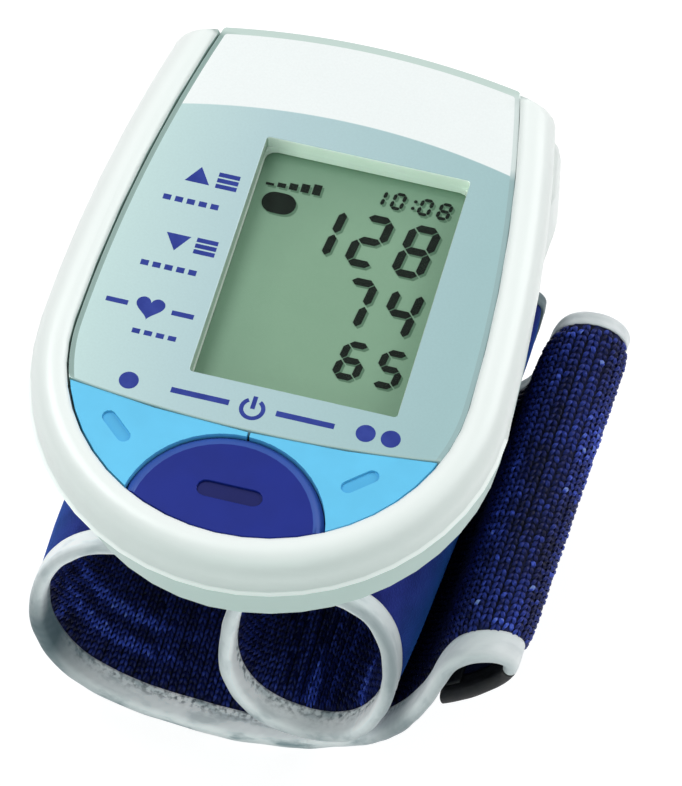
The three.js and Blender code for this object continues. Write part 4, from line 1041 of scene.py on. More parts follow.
def reading_signs():
    """Outlines in millimetres of the signs beside the display."""
    found = []
    # Upper and lower reading: a triangle that points up or down beside three bars
    for y, way in ((16.8, 1), (5.2, -1)):
        found.append([(-20.2, y - way * 1.2), (-16.6, y - way * 1.2), (-18.4, y + way * 1.6)])
        found += [
            bar((-15.7, y + number - 0.36), (-12.6, y + number + 0.36)) for number in (-1, 0, 1)]
    # Pulse: a heart between bars
    found.append([
        (-19.0 + 0.13 * 16 * math.sin(t) ** 3,
         -6.5 + 0.13 * (13 * math.cos(t) - 5 * math.cos(2 * t) - 2 * math.cos(3 * t)
                        - math.cos(4 * t)))
        for t in np.radians(np.linspace(0, 360, 48, endpoint=False))])
    found += [bar((low, -7.0), (high, -6.2)) for low, high in ((-25.4, -22.2), (-15.8, -12.6))]
    # A row of dashes under each
    for start, low, high, count in (
            (-22.4, 12.2 - 0.45, 12.2 + 0.45, 5), (-22.4, 0.6 - 0.45, 0.6 + 0.45, 5),
            (-20.4, -11.2, -10.4, 4)):
        for number in range(count):
            left = start + 1.75 * number
            found.append(bar((left, low), (left + 1.15, high)))
    return found


class MONITOR_OT_marks(bpy.types.Operator):
    """Plain printed marks beside the display and above the keys"""

    bl_idname = "monitor.marks"
    bl_label = "Printed Marks"

    def execute(self, context):
        shape = bmesh.new()
        face = FACE - context.scene.monitor_case.lens_drop
        for outline in reading_signs() + key_signs():
            draw(shape, [(x * MM, y * MM) for x, y in outline], face + 0.02 * MM, 0.04 * MM)
        bmesh.ops.recalc_face_normals(shape, faces=shape.faces[:])
        place("lens_marks", shape, ("screen_ink",), "monitor", ())
        return {"FINISHED"}


KEY_SLIP = 0.01 * MM  # how level the edges round a key's top are
RECESS_DEPTHS = (0.15 * MM, 1.5 * MM)  # a face this far under a key's top is its finger recess
RECESS_REACH = 4 * MM  # and lies within this of its middle


class MONITOR_OT_keys(bpy.types.Operator):
    """Key caps with rounded edges and finger recesses"""

    bl_idname = "monitor.keys"
    bl_label = "Keys"

    def execute(self, context):
        sizes = context.scene.monitor_case
        for key in ("start", "memory_left", "memory_right"):
            shape = node_copy(f"{key}_button")
            top = max(vert.co.z for vert in shape.verts)
            tone, slope = "sky_blue", "sky_blue_cap"
            if key == "start":
                tone, slope = "deep_blue", "deep_blue_slope_lit"
                self.slope_start(shape, top, sizes)
            soften(shape, edges_at(shape, top, KEY_SLIP), 0.2 * MM)
            # Recess floors take the painted shade
            for face in shape.faces:
                sunk = top - face.calc_center_median().z
                if face.normal.z > 0.9 and RECESS_DEPTHS[0] < sunk < RECESS_DEPTHS[1]:
                    face.material_index = 2
            if key == "start":
                self.flare_start(shape, sizes)
            if key == "memory_left":
                self.shift_recess(shape, sizes)
            place(f"{key}_cap", shape, (f"{tone}_cap", slope, f"{tone}_recess"), f"{key}_key",
                  (f"{key}_button",))
        return {"FINISHED"}

    @staticmethod
    def slope_start(shape, top, sizes):
        """Slope the start key's round side, which takes the painted light."""
        centre = Vector((0, sizes.start_y))
        for face in soften(shape, [
                edge for edge in edges_at(shape, top, KEY_SLIP)
                if abs((middle(edge).xy - centre).length - sizes.start_radius) < 0.15 * MM],
                sizes.start_slope, 4):
            face.material_index = 1

    @staticmethod
    def flare_start(shape, sizes):
        """Let the start key's round side fill the gap to the lens."""
        for vert in shape.verts:
            away = vert.co.xy - Vector((0, sizes.start_y))
            if abs(away.length - sizes.start_radius) < 0.1 * MM and away.y > 0:
                vert.co.xy += away.normalized() * sizes.key_flare

    @staticmethod
    def shift_recess(shape, sizes):
        """Move the left key's finger recess to the left."""
        pad = [face for face in shape.faces if face.material_index == 2]
        spot = sum((face.calc_center_median() for face in pad), Vector()) / len(pad)
        for vert in shape.verts:
            if (vert.co.xy - spot.xy).length < RECESS_REACH and vert.co.z > spot.z - 0.1 * MM:
                vert.co.x -= sizes.recess_shift


# Cuff: stops on its route seen from the front, as X, Z and heading in millimetres and degrees,
# at the front edge and at the rear edge, in the middle of the band's thickness

STOPS = (
    ("roll_end", (-0.3, 40.5, -100), (-0.3, 40.5, -100)),
    ("roll_left", (-2.5, 22.5, -90), (-2.5, 22.5, -90)),
    ("roll_bottom", (7.2, 8.6, 0), (6, 9.6, 0)),
    ("roll_right", (22.2, 28.6, 90), (29.6, 44.3, 86)),
    ("roll_top", (19, 43.0, 125), (24.6, 46.2, 180)),
    ("strap_right", (9.5, 46.2, 180), (9.5, 46.2, 180)),
    ("strap_left", (-15, 46.2, 180), (-15, 46.2, 180)),
    ("loop_left", (-31.3, 22, 270), (-28.6, 22, 270)),
    ("flat_left", (-14, 1.5, 360), (-14, 1.5, 360)),
    ("flat_right", (6, 1.5, 360), (6, 1.5, 360)),
    ("hinge", (19.5, 10.4, 410), (19.5, 10.4, 410)),
    ("rise", (27.9, 27.1, 430), (31.2, 28.1, 437)),
    ("hump_top", (35.8, 40.2, 360), (38.4, 43.4, 360)),
    ("hump_right", (39.6, 36.6, 270), (42.3, 39.6, 270)),
    ("end", (32.7, 28.7, 217), (35.3, 31.9, 217)),
    ("tuck", (30.3, 27.3, 205), (32.9, 30.5, 205)),
)
BEND_STEPS = 80  # points from one stop to the next
# How far the cloth's front edge pushes forward in millimetres, at a share of the way from one stop
# to the next
FORWARD = (
    ("roll_end", 0, 0.2), ("roll_left", 0, 0.5), ("roll_bottom", 0, 1.7),
    ("roll_bottom", 0.45, 3.3), ("roll_right", 0, 1.3), ("roll_top", 0, 0.3),
    ("strap_right", 0, 0), ("strap_left", 0, 0), ("loop_left", 0, 0.4), ("loop_left", 0.5, 0.4),
    ("loop_left", 0.75, 0), ("flat_left", 0, 0.5), ("flat_left", 0.5, 1.3), ("flat_left", 0.75, 1),
    ("flat_right", 0, 0.3), ("flat_right", 0.3, -0.3), ("flat_right", 0.6, 0.2), ("hinge", 0, 1.4),
    ("hinge", 0.5, 2.5), ("rise", 0, 2.9), ("rise", 0.5, 2.6), ("hump_top", 0, 0.8),
    ("hump_right", 0, -1.6), ("hump_right", 0.25, -1.3), ("hump_right", 0.6, 0.6), ("end", 0, 1),
    ("tuck", 0, 1.6))


def run_along(points):
    """Length run at each point of a line."""
    return np.concatenate(([0], np.cumsum(np.linalg.norm(np.diff(points, axis=0), axis=1))))


def bell(value, width):
    """A soft bump, 1 at a value of 0."""
    return np.exp(-(value / width) ** 2)


def climb(value, reach):
    """0 up to a value of 0, then evenly up to 1 at this reach."""
    return np.clip(value / reach, 0, 1)


def edge_line(side):
    """Fine points along one edge of the route, in metres."""
    line = []
    stops = [stop[side] for stop in STOPS]
    for (x0, z0, h0), (x1, z1, h1) in zip(stops, stops[1:]):
        start, finish_point = np.array((x0, z0)) * MM, np.array((x1, z1)) * MM
        turn = abs(math.radians(h1 - h0))
        share = 2 / 3 * math.tan(turn / 4) / math.sin(turn / 2) if turn else 1 / 3
        reach = share * np.linalg.norm(finish_point - start)
        a, b = (np.array((math.cos(math.radians(h)), math.sin(math.radians(h)))) for h in (h0, h1))
        t = np.linspace(0, 1, BEND_STEPS, endpoint=False)[:, None]
        line.append(
            (1 - t) ** 3 * start + 3 * (1 - t) ** 2 * t * (start + a * reach)
            + 3 * (1 - t) * t ** 2 * (finish_point - b * reach) + t ** 3 * finish_point)
    line.append(finish_point[None])
    return np.concatenate(line)


FRONT, REAR = edge_line(1), edge_line(2)
LENGTHS = run_along((FRONT + REAR) / 2)
AT = {stop[0]: LENGTHS[number * BEND_STEPS] for number, stop in enumerate(STOPS)}
# Where the tail's cloth starts, behind the roll
SEAM = AT["flat_right"] + 4.2 * MM


def outward(line):
    """Direction out of the velour side along an edge."""
    way = np.gradient(line, LENGTHS, axis=0)
    way /= np.linalg.norm(way, axis=1)[:, None]
    return np.stack((way[:, 1], -way[:, 0]), axis=1)


FRONT_OUT, REAR_OUT = outward(FRONT), outward(REAR)


def forward_table():
    """Lengths along the route and how far the front edge pushes forward there, evened out."""
    samples, even = 500, 15
    names = [stop[0] for stop in STOPS] + [STOPS[-1][0]]
    after = dict(zip(names, names[1:]))
    knots = [AT[name] + share * (AT[after[name]] - AT[name]) for name, share, _ in FORWARD]
    lengths = np.linspace(0, LENGTHS[-1], samples)
    pushes = np.interp(lengths, knots, [push * MM for _, _, push in FORWARD])
    pushes = np.pad(pushes, even // 2, mode="edge")
    return lengths, np.convolve(pushes, np.ones(even) / even, "valid")


FORWARD_TABLE = forward_table()


def on_band(along, across, height):
    """Points on the band: along its route, across its width, and out from its middle."""
    share = (across / bpy.context.scene.monitor_cuff.width + 0.5)[..., None]

    def read(front, rear):
        columns = [
            np.stack([np.interp(along, LENGTHS, line[:, axis]) for axis in (0, 1)], axis=-1)
            for line in (front, rear)]
        return columns[0] * (1 - share) + columns[1] * share

    spot, out = read(FRONT, REAR), read(FRONT_OUT, REAR_OUT)
    out = out / np.linalg.norm(out, axis=-1)[..., None]
    spot = spot + out * height[..., None]
    push = np.interp(along, *FORWARD_TABLE) * np.clip(1 - share[..., 0], 0, 1)
    return np.stack((spot[..., 0], across - push, spot[..., 1]), axis=-1)


def cloth(along, across, height, painted_shading=None, flat=None):
    """A grid of cloth laid on the band, with a map in metres, along and across it by default."""
    places = on_band(along, across, height)
    uv = np.stack(flat or (along, across), axis=-1)
    columns, rows = along.shape
    shape = bmesh.new()
    bmesh.ops.create_grid(shape, x_segments=columns - 1, y_segments=rows - 1, size=1)
    shape.verts.ensure_lookup_table()
    spots = [
        (round((vert.co.x + 1) / 2 * (columns - 1)), round((vert.co.y + 1) / 2 * (rows - 1)))
        for vert in shape.verts]
    layer = shape.loops.layers.uv.new("Cloth")
    tone = shape.verts.layers.float.new("painted_shading") if painted_shading is not None else None
    for vert, spot in zip(shape.verts, spots):
        vert.co = places[spot]
        if tone is not None:
            vert[tone] = float(painted_shading[spot])
    for face in shape.faces:
        for loop in face.loops:
            loop[layer].uv = uv[spots[loop.vert.index]]
    return shape


def lay(name, shape, title, body, replaced, thickness, offset=-1, smooth=80):
    """Place a sheet of one finish and give it its thickness."""
    piece = place(name, shape, (title,), body, replaced, smooth)
    modifier = piece.modifiers.new("Thickness", "SOLIDIFY")
    modifier.thickness = thickness
    modifier.offset = offset
    modifier.use_rim = True
    return piece


def flip(shape):
    """Turn every face round."""
    bmesh.ops.reverse_faces(shape, faces=shape.faces[:])
    return shape


def slack(along, across):
    """Soft unevenness of free cloth, none where the band is held flat."""
    free = np.ones_like(along)
    for first, last in (("strap_right", "strap_left"), ("flat_left", "flat_right")):
        free *= climb(np.maximum(AT[first] - along, along - AT[last]), 8 * MM)
    wave = np.vectorize(
        lambda u, v: noise.noise(Vector((u / (9 * MM), v / (16 * MM), 0.4))))(along, across)
    return free * wave


UNDER_FLAP = 0.9 * MM  # how far the cloth reaches under the tapes' flaps


def side_grid(first, last, front_flap, rear_flap):
    """Even lengths and widths of the cloth between two lengths and just under the tapes' flaps."""
    sizes = bpy.context.scene.monitor_cuff
    low = front_flap - sizes.width / 2 - UNDER_FLAP
    high = sizes.width / 2 - rear_flap + UNDER_FLAP
    columns = max(8, round((last - first) / sizes.grid))
    rows = round((high - low) / sizes.grid)
    return np.meshgrid(
        np.linspace(first, last, columns), np.linspace(low, high, rows), indexing="ij")


def padding(across, front_flap, rear_flap, edge):
    """How full the band is across its width: 0 at the tapes, 1 at this distance from them."""
    flap = np.where(across < 0, front_flap, rear_flap)
    half = bpy.context.scene.monitor_cuff.width / 2
    return climb(half - np.abs(across) - flap, edge)


def cover(first, last):
    """Velour side of the band, plump in its middle, with painted shade marked deep inside the tail's
    fold.
    """
    sizes = bpy.context.scene.monitor_cuff
    flaps = sizes.cover_flap, sizes.rear_flap
    along, across = side_grid(first, last, *flaps)
    inside = padding(across, *flaps, 8 * MM)
    thin = sizes.edge_half - 0.5 * MM
    plump = thin + (sizes.half - thin) * np.sqrt(inside)
    height = plump + 0.3 * MM * (slack(along, across) - 0.6) * inside
    deep = climb(along - AT["rise"], 6 * MM)
    return flip(cloth(along, across, height, deep))


def ground(across):
    """Depth of the knit's ground below the band's middle, less towards the tapes."""
    sizes = bpy.context.scene.monitor_cuff
    inside = padding(across, sizes.lining_flap, sizes.rear_lining, 4 * MM)
    thin, full = sizes.edge_half - 0.6 * MM, sizes.half - 0.55 * MM
    return thin + (full - thin) * np.sqrt(inside)


def lining(first, last):
    """Ribbed ground of the knit side."""
    sizes = bpy.context.scene.monitor_cuff
    along, across = side_grid(first, last, sizes.lining_flap, sizes.rear_lining)
    rib = np.cos(np.pi * along / sizes.rib_pitch) ** 2
    # The rib crests are painted lighter than the grooves between them
    return cloth(along, across, -(ground(across) + sizes.rib_height * rib), 0.7 * rib)


ARM_STEPS, ARM_SIDES = 3, 4  # faces along and round an arm of yarn
ARM_REACH = 1.25  # length of a stitch's arm, in stitches
ARM_START = 0.12  # how far before its stitch an arm starts, in stitches
YARN_SEED = 24


def arms(first, last, low, high):
    """One row for each arm of yarn: its rib, place and side, and its own unevenness."""
    sizes = bpy.context.scene.monitor_cuff
    # Vector noise starts from the clock unless it is seeded
    noise.seed_set(YARN_SEED)
    rows = []
    for number in range(
            math.ceil(first / sizes.rib_pitch), math.floor(last / sizes.rib_pitch) + 1):
        rib = number * sizes.rib_pitch
        for y in np.arange(low, high - sizes.loop_pitch, sizes.loop_pitch):
            y += sizes.loop_pitch * (number % 2) / 2
            for side in (-1, 1):
                wild = noise.noise_vector(Vector((rib / MM * 2.3, y / MM * 1.9, side * 0.7)))
                nap = noise.noise(Vector((rib / MM * 0.35, y / MM * 0.06, 3.1)))
                rows.append((rib, y, side, nap, *wild))
    return np.array(rows).T[:, :, None, None]


def yarn_light(along, across, arch, nap, tall, gleam):
    """How bright the yarn is painted, from 0 to 1: painted light and shade."""
    inset = across + bpy.context.scene.monitor_cuff.width / 2
    # Painted highlights: two soft creases along the loop's lower left catch the light
    crease = sum(bell(inset - at * MM, 1.7 * MM) for at in (9.2, 14))
    bend = bell(along - 0.4 * AT["loop_left"] - 0.6 * AT["flat_left"], 18 * MM)
    # and two of the roll's ribs near its right side are painted lighter
    turned = AT["roll_right"] - AT["roll_bottom"]
    ribs = sum(
        bell(along - AT["roll_bottom"] - share * turned, 1.8 * MM)
        for share in (0.08, 0.45)) * climb(17 * MM - inset, 8 * MM)
    streak = np.maximum(crease * bend, ribs)
    # Painted light falls on the fold's top and right side, and hardly into the loops; the tail's
    # side towards the case is painted dark
    lit = climb(along - AT["rise"] - 6 * MM, 9 * MM)
    bright = (0.18 + 0.3 * arch + 0.3 * tall + 0.4 * nap) * (0.8 + 0.2 * lit)
    bright = bright + 1.5 * np.clip(gleam - 0.24, 0, 1) * arch ** 2 * (0.2 + 0.8 * lit)
    bright = np.clip(np.maximum(bright, np.minimum(0.78, streak * (0.95 + 0.6 * tall))), 0, 1)
    return bright * (1 - 0.9 * (1 - lit) * (along > AT["hinge"]))


def yarn(first, last):
    """Stitches in rows along the ribs: two arms of yarn that lean together as a V."""
    sizes = bpy.context.scene.monitor_cuff
    low = sizes.lining_flap - sizes.width / 2 + 0.1 * MM
    high = sizes.width / 2 - sizes.rear_lining - 0.1 * MM
    rib, base, side, nap, tall, sway, gleam = arms(first, last, low, high)
    rise = np.linspace(0, 1, ARM_STEPS + 1)[None, :, None]
    turn = np.linspace(0, 2 * np.pi, ARM_SIDES, endpoint=False)[None, None, :]
    arch = np.sin(np.pi * rise)
    thick = sizes.yarn_radius * (0.5 + 0.6 * arch) * (1 + 0.25 * gleam)
    lean = 0.28 * sizes.rib_pitch
    tilt = math.atan2(lean, ARM_REACH * sizes.loop_pitch)
    along = rib + side * (0.36 * sizes.rib_pitch - lean * rise) + 0.12 * MM * sway
    along = along + side * thick * np.cos(turn) * math.cos(tilt)
    across = base + sizes.loop_pitch * (ARM_REACH * rise - ARM_START)
    across = across + thick * np.cos(turn) * math.sin(tilt)
    near = climb(np.minimum(across - low, high - across), 1.6 * MM)
    height = sizes.loop_height * (1 + 0.5 * tall) * arch * (0.35 + 0.65 * near)
    depth = ground(across) + 0.5 * sizes.rib_height + height + thick * np.sin(turn)
    places = on_band(along, across, -depth)
    bright = yarn_light(along, across, arch, nap, tall, gleam)
    shape = bmesh.new()
    tone = shape.verts.layers.float.new("painted_shading")
    for arm_places, arm_bright in zip(places, bright):
        rings = [[shape.verts.new(spot) for spot in level] for level in arm_places]
        for level, tones in zip(rings, arm_bright):
            for vert, value in zip(level, tones):
                vert[tone] = float(value)
        for lower, upper in zip(rings, rings[1:]):
            for at in range(ARM_SIDES):
                shape.faces.new((lower[at - 1], lower[at], upper[at], upper[at - 1]))
    bmesh.ops.recalc_face_normals(shape, faces=shape.faces[:])
    return shape


def folded(radius, flap, lap, over, turns, under):
    """Section of a tape folded over an edge, as inset and height, and the length run along it."""
    outer = [(flap - step * (flap - radius) / over, radius) for step in range(over)]
    fold = [
        (radius - radius * math.sin(turn), radius * math.cos(turn))
        for turn in np.radians(np.linspace(0, 180, turns))]
    inner = [(radius + step * (lap - radius) / under, -radius) for step in range(1, under + 1)]
    section = np.array(outer + fold + inner)
    return section, run_along(section)


# Where painted shade darkens the tape, round the loop's left side and towards the hinge: a stop,
# how far past it in millimetres, and how dark
TAPE_SHADE_SPOTS = (
    ("loop_left", 4, 1.05), ("flat_left", -13, 0.3), ("roll_bottom", 6, 0.35),
    ("roll_right", 2, 0.4), ("hinge", 9, 0.75))
TAPE_GRID = 0.6 * MM  # size of the tape's faces along it
SEWN_IN = 0.9 * MM  # the seam runs this far in from the tape's edges
STITCH_PITCH = 2.6 * MM


def tape_darkening(end, along):
    """How much painted shade darkens the tape, from 0 to about 1."""
    darkened = sum(
        share * bell(along - AT[stop] - shift * MM, 9 * MM) for stop, shift, share in TAPE_SHADE_SPOTS)
    # On the rear tape, painted shade on the tail's flank and near the roll's right side; on both, a
    # little along the whole tail
    if end > 0:
        flank = np.minimum(along - AT["hinge"], AT["hump_top"] - 2 * MM - along)
        darkened = np.maximum(darkened, 0.9 * climb(flank, 4 * MM))
        darkened = np.maximum(darkened, 0.95 * bell(along - AT["roll_right"], 14 * MM))
    return np.maximum(darkened, 0.25 * (along > AT["hinge"]))


def binding(end, first, last):
    """Tape folded over one long edge: its map runs along the tape and round its fold."""
    sizes = bpy.context.scene.monitor_cuff
    flap, lap = (
        (sizes.cover_flap, sizes.lining_flap) if end < 0 else (sizes.rear_flap, sizes.rear_lining))
    section, run = folded(sizes.edge_half, flap, lap, 5, 13, 7)
    along, row = np.meshgrid(
        np.linspace(first, last, round((last - first) / TAPE_GRID)), np.arange(len(section)),
        indexing="ij")
    inset, height, run_in = section[row, 0], section[row, 1], run[row]
    wave = np.vectorize(lambda u, v: noise.noise(Vector((u, v, end * 2.3))))
    ripple = wave(along / (3.5 * MM), run_in / (5 * MM))
    drift = wave(along / (11 * MM), np.zeros_like(along) + 7.5)
    # The seam presses both flaps down a little way in from their edges
    press = np.maximum(
        bell(run_in - SEWN_IN, 0.45 * MM), bell(run_in - run[-1] + SEWN_IN, 0.45 * MM))
    tuck = np.maximum(bell(run_in, 0.35 * MM), bell(run_in - run[-1], 0.35 * MM))
    stitch = 0.75 + 0.25 * np.cos(2 * np.pi * along / STITCH_PITCH)
    swell = 1 + 0.1 * ripple - 0.16 * press * stitch - 0.12 * tuck
    inset = inset + 0.35 * MM * drift * np.clip(inset / sizes.lining_flap, 0, 1)
    across = end * (sizes.width / 2 - inset + 0.12 * MM * ripple)
    # The roll's end is sewn flat
    closed = np.sqrt(np.clip((along - first) / (1.5 * MM), 0.02, 1)) if first == 0 else 1
    inward = run[-1] - run_in + sizes.lining_flap - lap
    shape = cloth(along, across, height * swell * closed, tape_darkening(end, along), (along, inward))
    return flip(shape) if end > 0 else shape


def end_tape(at, way, wrap):
    """Tape folded over a short end of the band; way points along the route into the band."""
    sizes = bpy.context.scene.monitor_cuff
    section, run = folded(
        sizes.edge_half + wrap, sizes.cover_flap, sizes.lining_flap, 4, 11, 5)
    front = 2 * MM - sizes.width / 2
    rear = sizes.width / 2 + (0.1 * MM if wrap else -2 * MM)
    across, row = np.meshgrid(
        np.linspace(front, rear, 100), np.arange(len(section)), indexing="ij")
    wave = np.vectorize(lambda u, v: noise.noise(Vector((u, v, 4.4))))
    ripple = wave(across / (4 * MM), run[row] / (5 * MM))
    along = at + way * (section[row, 0] - 0.2 * MM - wrap)
    height = section[row, 1] * (0.95 + 0.05 * ripple)
    shape = cloth(along, across, height, flat=(across, run[-1] - run[row]))
    return flip(shape) if way < 0 else shape


VELOUR, KNIT = 0.6 * MM, 0.5 * MM  # thickness of the two cloths
FILM = 0.5 * MM  # thickness of the bladder's film
INNER_HALF = 23 * MM  # half the width of the bladder and of the hook patch
ENDS = ((-1, "front"), (1, "rear"))


def stretch(name, body, first, last, seen, covered=(), lined=()):
    """Velour, knit and stitches of one stretch of the band; the stitches start where it is seen."""
    velour_side = lay(
        f"{name}_velour", cover(first, last), "navy_velour", body, covered, VELOUR,
        smooth=60)
    knit_side = lay(
        f"{name}_knit", lining(first, last), "navy_knit", body, lined, KNIT, smooth=60)
    loops = place(
        f"{name}_loops", yarn(seen, last), ("navy_yarn",), body, (), 80)
    return [velour_side, knit_side, loops]


class MONITOR_OT_cuff_band(bpy.types.Operator):
    """The rolled end, the strap under the case and the round loop"""

    bl_idname = "monitor.cuff_band"
    bl_label = "Cuff Band"

    def execute(self, context):
        sizes = context.scene.monitor_cuff
        stretch("roll", "monitor", 0, AT["strap_right"], 0)
        stretch("loop", "monitor", AT["strap_right"], SEAM, AT["strap_left"], ("cuff_cover",),
                ("cuff_lining",))
        for end, side in ENDS:
            lay(f"band_tape_{side}", binding(end, 0, SEAM), "grey_binding", "monitor",
                (f"binding_{side}",), sizes.tape)
        along, across = np.meshgrid(
            np.linspace(AT["strap_right"], AT["flat_right"], 90),
            np.linspace(-INNER_HALF, INNER_HALF, 24), indexing="ij")
        lay("bladder_film", cloth(along, across, np.zeros_like(along)), "grey_film", "monitor",
            ("air_bladder",), FILM, 0)
        lay("roll_end_tape", end_tape(0, 1, 0.3 * MM), "grey_binding", "monitor", (),
            sizes.tape)
        return {"FINISHED"}


class MONITOR_OT_cuff_tail(bpy.types.Operator):
    """The tail that folds over at the right, running on from the band past its hinge"""

    bl_idname = "monitor.cuff_tail"
    bl_label = "Cuff Tail"

    def execute(self, context):
        sizes = context.scene.monitor_cuff
        first, last = SEAM, AT["tuck"]
        pieces = stretch("tail", None, first, last, first, ("tail_cover",), ("tail_lining",))
        # Past this the tape is painted near black, as shade in the tab under the fold
        turn = AT["hump_right"] + 1.4 * MM
        for end, side in ENDS:
            pieces.append(lay(
                f"tail_tape_{side}", binding(end, first, turn), "grey_binding", None,
                (f"tail_binding_{side}",), sizes.tape))
            pieces.append(lay(
                f"tail_tab_{side}", binding(end, turn, last), "hook_tape", None, (),
                sizes.tape))
        # The end tape is painted near black too, as shade
        pieces.append(lay(
            "tail_end", end_tape(last, -1, 0), "hook_tape", None, (), sizes.tape))
        for piece in pieces:
            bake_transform(piece)
        return {"FINISHED"}


class MONITOR_OT_hook_patch(bpy.types.Operator):
    """Hook patch on the tail's end"""

    bl_idname = "monitor.hook_patch"
    bl_label = "Hook Patch"

    def execute(self, context):
        sizes = context.scene.monitor_cuff
        first, last = AT["hump_right"] + 4 * MM, AT["end"] - 0.5 * MM
        along, across = np.meshgrid(
            np.linspace(first, last, 24), np.linspace(-INNER_HALF, INNER_HALF, 120), indexing="ij")
        # Rows of hooks, drawn about a millimetre apart so that they show
        nubs = np.cos(np.pi * along / (1.1 * MM)) ** 2 * np.cos(np.pi * across / (1.3 * MM)) ** 2
        height = -(sizes.half + 0.35 * MM + 0.3 * MM * nubs)
        lay("hook_tape_patch", cloth(along, across, height), "hook_tape", "cuff_tail",
            ("hook_patch",), 0.7 * MM)
        return {"FINISHED"}


class MONITOR_OT_inside(bpy.types.Operator):
    """Finish the parts inside the case"""

    bl_idname = "monitor.inside"
    bl_label = "Inside Parts"

    def execute(self, context):
        finishes = {
            "matt_frame": ("lcd_holder",),
            "black_rubber": ("lcd_strip", "button_seal"),
            "board_laminate": ("circuit_board",),
            "black_part": ("switch", "controller_chip", "pump_head", "pressure_sensor"),
            "grey_part": (
                "plunger", "exhaust_valve", "air_manifold", "cuff_nozzle", "cuff_mount_plate"),
            "cell_wrap": ("battery_upper", "battery_lower"),
            "plain_steel": ("screw", "battery_link", "contact", "pump_motor"),
            "clear_silicone": ("tube",)}
        for name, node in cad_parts.items():
            for title, words in finishes.items():
                if any(word in name for word in words):
                    node.data.materials.clear()
                    node.data.materials.append(made[title])
        return {"FINISHED"}


LIGHT_TARGET = Vector((0.004, 0, 0.05))  # the lamps point here
FLOOR_HALF = 3
FLOOR_GLOW = 0.88  # what the camera sees of the floor, apart from the shadow on it
SHADOW_SHARE = 0.3  # how much of the shadow it sees
WORLD_LIGHT = 0.33  # how strongly the world lights the object


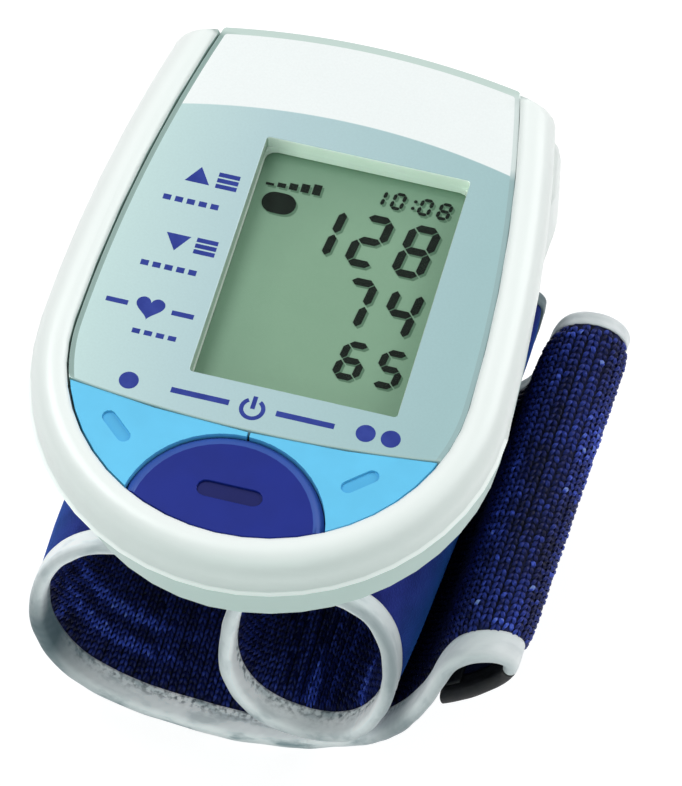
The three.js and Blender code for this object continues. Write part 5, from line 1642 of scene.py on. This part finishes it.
class MONITOR_OT_stage(bpy.types.Operator):
    """Pale floor, soft studio light and the camera"""

    bl_idname = "monitor.stage"
    bl_label = "Stage"

    def execute(self, context):
        scene = context.scene
        self.lay_floor(scene)
        self.light(scene)
        studio = scene.monitor_studio
        camera = bpy.data.objects.new("camera", bpy.data.cameras.new("camera"))
        camera.data.sensor_fit = "VERTICAL"
        camera.data.sensor_height = 36
        camera.data.lens = studio.focal
        camera.data.clip_start = 0.01
        camera.location = studio.eye
        view = Vector(studio.aim) - Vector(studio.eye)
        camera.rotation_euler = view.to_track_quat("-Z", "Y").to_euler()
        scene.collection.objects.link(camera)
        scene.camera = camera
        scene.view_settings.view_transform = "Standard"
        return {"FINISHED"}

    @staticmethod
    def lay_floor(scene):
        """A pale matt floor that looks nearly white to the camera and keeps the shadow."""
        material, node = finish("studio_floor", Roughness=0.9)
        mottle(material, node, scene.monitor_studio.floor, linear("#F6F7F7"), 60 * MM)
        matt = node.outputs[0]
        rays = add_node(material, "LightPath").node.outputs
        seen = rays["Is Camera Ray"]
        for kind in ("Is Glossy Ray", "Is Transmission Ray"):
            seen = add_node(material, "Math", {0: seen, 1: rays[kind]}, operation="MAXIMUM")
        dark = add_node(material, "Emission", {"Strength": 0.0})
        shadow = add_node(material, "MixShader", {"Fac": SHADOW_SHARE, 1: dark, 2: matt})
        glow = add_node(material, "Emission", {"Strength": FLOOR_GLOW})
        pale = add_node(material, "AddShader", {0: shadow, 1: glow})
        chosen = add_node(material, "MixShader", {"Fac": seen, 1: matt, 2: pale})
        link(material.node_tree.nodes["Material Output"], "Surface", chosen)
        shape = bmesh.new()
        bmesh.ops.create_grid(shape, x_segments=1, y_segments=1, size=FLOOR_HALF)
        bmesh.ops.translate(shape, vec=(0, 0, -0.2 * MM), verts=shape.verts[:])
        mesh = bpy.data.meshes.new("floor")
        shape.to_mesh(mesh)
        shape.free()
        mesh.materials.append(material)
        floor = bpy.data.objects.new("floor", mesh)
        scene.collection.objects.link(floor)

    @staticmethod
    def light(scene):
        """A white world that lights the object less than it shows, and three soft lamps."""
        world = bpy.data.worlds.new("studio")
        world.use_nodes = True
        background = world.node_tree.nodes["Background"]
        background.inputs["Color"].default_value = (1, 1, 1, 1)
        link(background, "Strength", add_node(
            world, "MapRange",
            {"Value": add_node(world, "LightPath", give="Is Camera Ray"),
             "To Min": WORLD_LIGHT, "To Max": 1.0}))
        scene.world = world
        for name, spot, size, power, tint in (
                ("key_light", (-0.4, 0.16, 0.78), 0.4, 3.5, "#FFFFFF"),
                ("front_fill", (0.12, -0.85, 0.6), 0.7, 1.7, "#D2FFF3"),
                ("right_fill", (0.6, 0.55, 0.6), 0.6, 3.8, "#FFFFFF")):
            lamp = bpy.data.lights.new(name, "AREA")
            lamp.color = linear(tint)[:3]
            lamp.size = size
            lamp.energy = power
            light = bpy.data.objects.new(name, lamp)
            light.location = spot
            way = LIGHT_TARGET - Vector(spot)
            light.rotation_euler = way.to_track_quat("-Z", "Y").to_euler()
            scene.collection.objects.link(light)


class MONITOR_PT_panel(bpy.types.Panel):
    """Lists the operators and the sizes they use"""

    bl_idname = "MONITOR_PT_panel"
    bl_label = "Wrist Pressure Monitor"
    bl_space_type = "VIEW_3D"
    bl_region_type = "UI"
    bl_category = "Monitor"

    def draw(self, context):
        for operator in OPERATORS:
            self.layout.operator(operator.bl_idname)
        for group in GROUPS:
            settings = getattr(context.scene, group)
            for name in settings.__annotations__:
                self.layout.prop(settings, name)


OPERATORS = (
    MONITOR_OT_finishes, MONITOR_OT_stage, MONITOR_OT_housings, MONITOR_OT_door, MONITOR_OT_lens,
    MONITOR_OT_display, MONITOR_OT_marks, MONITOR_OT_keys, MONITOR_OT_cuff_band,
    MONITOR_OT_cuff_tail, MONITOR_OT_hook_patch, MONITOR_OT_inside)
GROUPS = {
    "monitor_case": CaseSizes, "monitor_cuff": CuffSizes, "monitor_finishes": Finishes,
    "monitor_studio": StudioSizes}


def register():
    """Register the classes and put their settings on the scene."""
    for group in GROUPS.values():
        bpy.utils.register_class(group)
    for name, group in GROUPS.items():
        setattr(bpy.types.Scene, name, PointerProperty(type=group))
    for operator in OPERATORS:
        bpy.utils.register_class(operator)
    bpy.utils.register_class(MONITOR_PT_panel)


def unregister():
    """Take everything off again."""
    bpy.utils.unregister_class(MONITOR_PT_panel)
    for operator in reversed(OPERATORS):
        bpy.utils.unregister_class(operator)
    for name, group in GROUPS.items():
        delattr(bpy.types.Scene, name)
        bpy.utils.unregister_class(group)


def main():
    """Build everything in order."""
    register()
    for operator in OPERATORS:
        space, action = operator.bl_idname.split(".")
        getattr(getattr(bpy.ops, space), action)()


if __name__ == "__main__":
    main()
